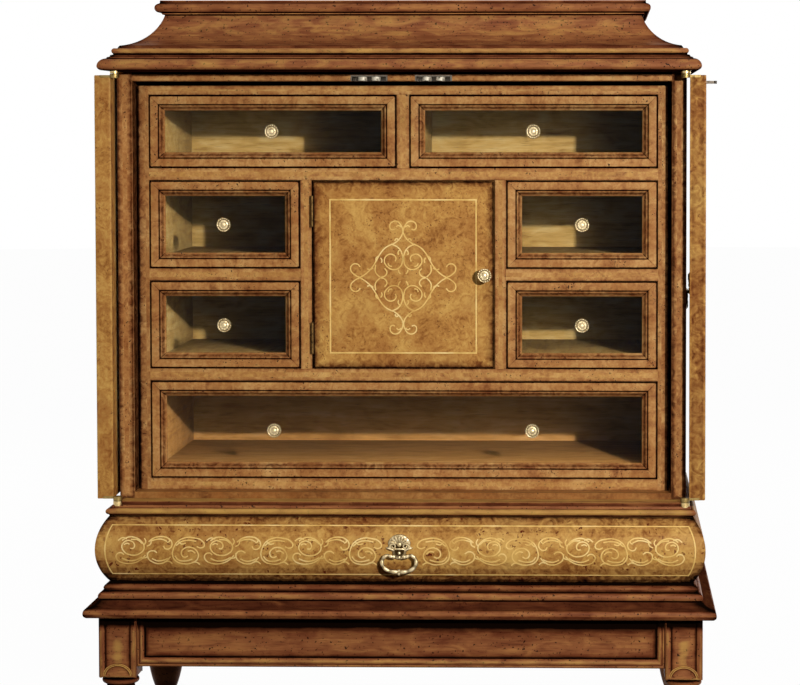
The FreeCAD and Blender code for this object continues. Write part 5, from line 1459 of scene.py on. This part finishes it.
# %% Bail
# Half of the bail's path, from its end on the pivot's axis to its foot.
BAIL_HALF = [(4.6, 0), (7.2, 0), (10.6, 0.6), (14.6, 1.7), (18.6, -0.6), (20.9, -5.0), (20.6, -10.0),
             (17.4, -14.4), (12.2, -17.5), (6.3, -18.6), (0, -18.8)]
BAIL_OUT, BAIL_POINTS, BAIL_LOBES, BALL_ACROSS = 6.5, 97, 11, 6.4
# The knots at its ends and the bud at its foot: along, radius, relief.
BALL_BAR = ((-2.6, 0.4, 0.5), (-2.0, 1.7, 0.6), (-1.0, 2.4, 0.62), (0, 2.6, 0.64), (1.0, 2.4, 0.62),
            (2.0, 1.7, 0.6), (2.6, 0.4, 0.5))
BUD_BAR = ((15.8, 1.6, 0.5), (17.0, 2.6, 0.62), (18.6, 2.2, 0.42), (20.4, 2.5, 0.62), (22.2, 1.7, 0.6),
           (23.4, 0.5, 0.6))


def bail_bar(name, x, face, pivot):
    """The bail: a flattened ring with knotted ends, foliage swellings and a bud at its foot."""
    piece = Piece(name)
    level = face - BAIL_OUT
    points = BAIL_HALF + [(-u, v) for u, v in BAIL_HALF[-2::-1]]
    path = smooth([(x + u, level, pivot + v) for u, v in points], BAIL_POINTS)
    shares = [i / (BAIL_POINTS - 1) for i in range(BAIL_POINTS)]
    lobes = [math.cos(2 * math.pi * BAIL_LOBES * share) for share in shares]
    swell = [1.9 + 0.6 * math.sin(math.pi * share) + 0.25 * lobe for share, lobe in zip(shares, lobes)]
    bar(piece, path, swell, [0.5 + 0.13 * lobe for lobe in lobes], 14)
    places, radii, relief = zip(*BALL_BAR)
    for side in (1, -1):
        ball = [Vector((x + side * BALL_ACROSS + u, level, pivot)) for u in places]
        bar(piece, ball, radii, relief, 24)
    drops, radii, relief = zip(*BUD_BAR)
    bar(piece, [Vector((x, level, pivot - drop)) for drop in drops], radii, relief)
    return piece


# %% Set the pulls
# Where each pull sits: across, the face, and the height of its pivot.
STAND_PULL, DOOR_PULL = (0.0, -189.5, 252.0), (34.0, -161.0, 558.0)
pulls = {"stand_drawer": (STAND_PULL, Matrix())}
pulls.update({side + "_door": (DOOR_PULL, place) for side, place in OPEN_DOORS.items()})
for body, (seat, place) in pulls.items():
    pull_plate(body + "_cast_plate", *seat).move(place).make(
        cast_brass, body, "antique_brass", body + "_pull_plate")
    bail_bar(body + "_cast_bail", *seat).move(place).make(
        cast_brass, body + "_bail", "antique_brass", body + "_bail")
print("pulls:", len(pulls))

# %% [markdown]
# ## Pieces kept from the frame
# Hinges, catches, strikes and the plain hidden boards are right as they are. They only take a finish.
# Their meshes carry no relief, so the boards get the veneer without the painted shade and glaze.

# %% Finishes on kept nodes
kept = {"cupboard_hinge_fixed_leaves": hinge_bronze, "cupboard_hinge_moving_leaves": hinge_bronze,
        "left_door_hinge_leaves": door_brass, "right_door_hinge_leaves": door_brass,
        "case_bottom": plain_veneer, "case_top": plain_veneer, "case_back": plain_veneer,
        "catch_housings": catch_steel, "left_door_strike": catch_steel, "right_door_strike": catch_steel}
for name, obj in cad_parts.items():
    if obj.hide_render or name.endswith("_glass"):
        continue
    obj.data.materials.clear()
    obj.data.materials.append(roller_steel if name.endswith("_roller") else kept.get(name, hinge_brass))
    print("kept:", name)

# %% [markdown]
# ## Floor, background and light
# The studio floor is pale and catches the shadow. Floor and background are white for the camera, in
# reflections and through glass, and dim for light that has bounced off the wood, or the drawers would be
# lit through their own panes. A small lamp from the right front throws the clean shadows seen in the
# drawers, a large soft box overhead shapes the mouldings, and a weak fill opens the left. Two more behind
# light the back and the ends, which the photograph doesn't show.

# %% Floor and world
FLOOR_RADIUS, FLOOR_WHITE, FLOOR_BOUNCE = 14.0, 0.98, "#4a4844"
WORLD_FILL = 0.03


def seen_straight(tree, path):
    """1 for rays from the camera, reflected or through glass, and 0 after a bounce off a surface."""
    seen = add(tree, "ShaderNodeMath", {0: path["Is Camera Ray"], 1: path["Is Glossy Ray"]})
    seen = add(tree, "ShaderNodeMath", {0: seen, 1: path["Is Transmission Ray"]}, use_clamp=True)
    return add(tree, "ShaderNodeMath", {0: seen, 1: path["Diffuse Depth"]}, operation="SUBTRACT",
               use_clamp=True)


def studio_floor():
    """A wide pale disc; the camera sees most of it as white, and the rest keeps the shadow."""
    mesh = bpy.data.meshes.new("studio_floor")
    shell = bmesh.new()
    bmesh.ops.create_circle(shell, cap_ends=True, segments=96, radius=FLOOR_RADIUS)
    shell.to_mesh(mesh)
    shell.free()
    material, tree, shader, place, _ = new_finish("pale_studio_floor", 0.0)
    dust = add(tree, "ShaderNodeTexNoise", {"Vector": place, "Scale": per_mm(300), "Detail": 3.0})
    colour = add(tree, "ShaderNodeValToRGB", {"Fac": dust}, ((0.3, "#e6e4e0"), (0.7, "#eeece8")))
    path = add(tree, "ShaderNodeLightPath").outputs
    colour = add(tree, "ShaderNodeMix", {
        0: path["Is Diffuse Ray"], 6: colour, 7: FLOOR_BOUNCE}, data_type="RGBA")
    coat(tree, shader, colour, dust, dust, 0.02, (0.85, 0.95))
    seen = seen_straight(tree, path)
    share = add(tree, "ShaderNodeMath", {0: seen, 1: FLOOR_WHITE}, operation="MULTIPLY")
    white = add(tree, "ShaderNodeEmission", {"Color": "#ffffff", "Strength": 1.0})
    both = add(tree, "ShaderNodeMixShader", {0: share, 1: shader, 2: white})
    tree.links.new(both.outputs["Shader"], tree.nodes["Material Output"].inputs["Surface"])
    mesh.materials.append(material)
    obj = bpy.data.objects.new("studio_floor", mesh)
    scene.collection.objects.link(obj)


def studio_world():
    """White for the camera, for reflections and through glass; a dim fill for the object."""
    world = bpy.data.worlds.new("studio")
    world.use_nodes = True
    tree = world.node_tree
    tree.nodes.clear()
    path = add(tree, "ShaderNodeLightPath").outputs
    dim = add(tree, "ShaderNodeBackground", {"Color": "#fffaf2", "Strength": WORLD_FILL})
    white = add(tree, "ShaderNodeBackground", {"Color": "#ffffff", "Strength": 1.0})
    both = add(tree, "ShaderNodeMixShader", {0: seen_straight(tree, path), 1: dim, 2: white})
    add(tree, "ShaderNodeOutputWorld", {"Surface": both})
    scene.world = world


studio_floor()
studio_world()
scene.view_settings.view_transform = "Standard"
print("floor radius:", FLOOR_RADIUS, "m")

# %% Lamps
FRONT_AIM, BACK_AIM = (0, -0.1, 0.5), (0, 0.1, 0.5)
# Each lamp: its place and aim in metres, its width and its power in watts.
LAMPS = {
    "key": ((0.98, -2.3, 1.07), FRONT_AIM, 0.06, 57),
    "overhead": ((0.3, -1.5, 2.6), (0, -0.1, 0.4), 1.2, 14),
    "fill": ((-2.2, -2.6, 1.2), FRONT_AIM, 1.2, 0.8),
    "back_left": ((-2.2, 2.4, 1.4), BACK_AIM, 1.6, 26),
    "back_right": ((2.2, 2.4, 1.4), BACK_AIM, 1.6, 26),
}
for name, (place, aim, width, power) in LAMPS.items():
    data = bpy.data.lights.new(name, "AREA")
    data.shape = "DISK"
    data.size = width
    data.energy = power
    lamp = bpy.data.objects.new(name, data)
    lamp.location = place
    lamp.rotation_euler = (Vector(aim) - Vector(place)).to_track_quat("-Z", "Y").to_euler()
    scene.collection.objects.link(lamp)
print("lamps:", len(LAMPS))
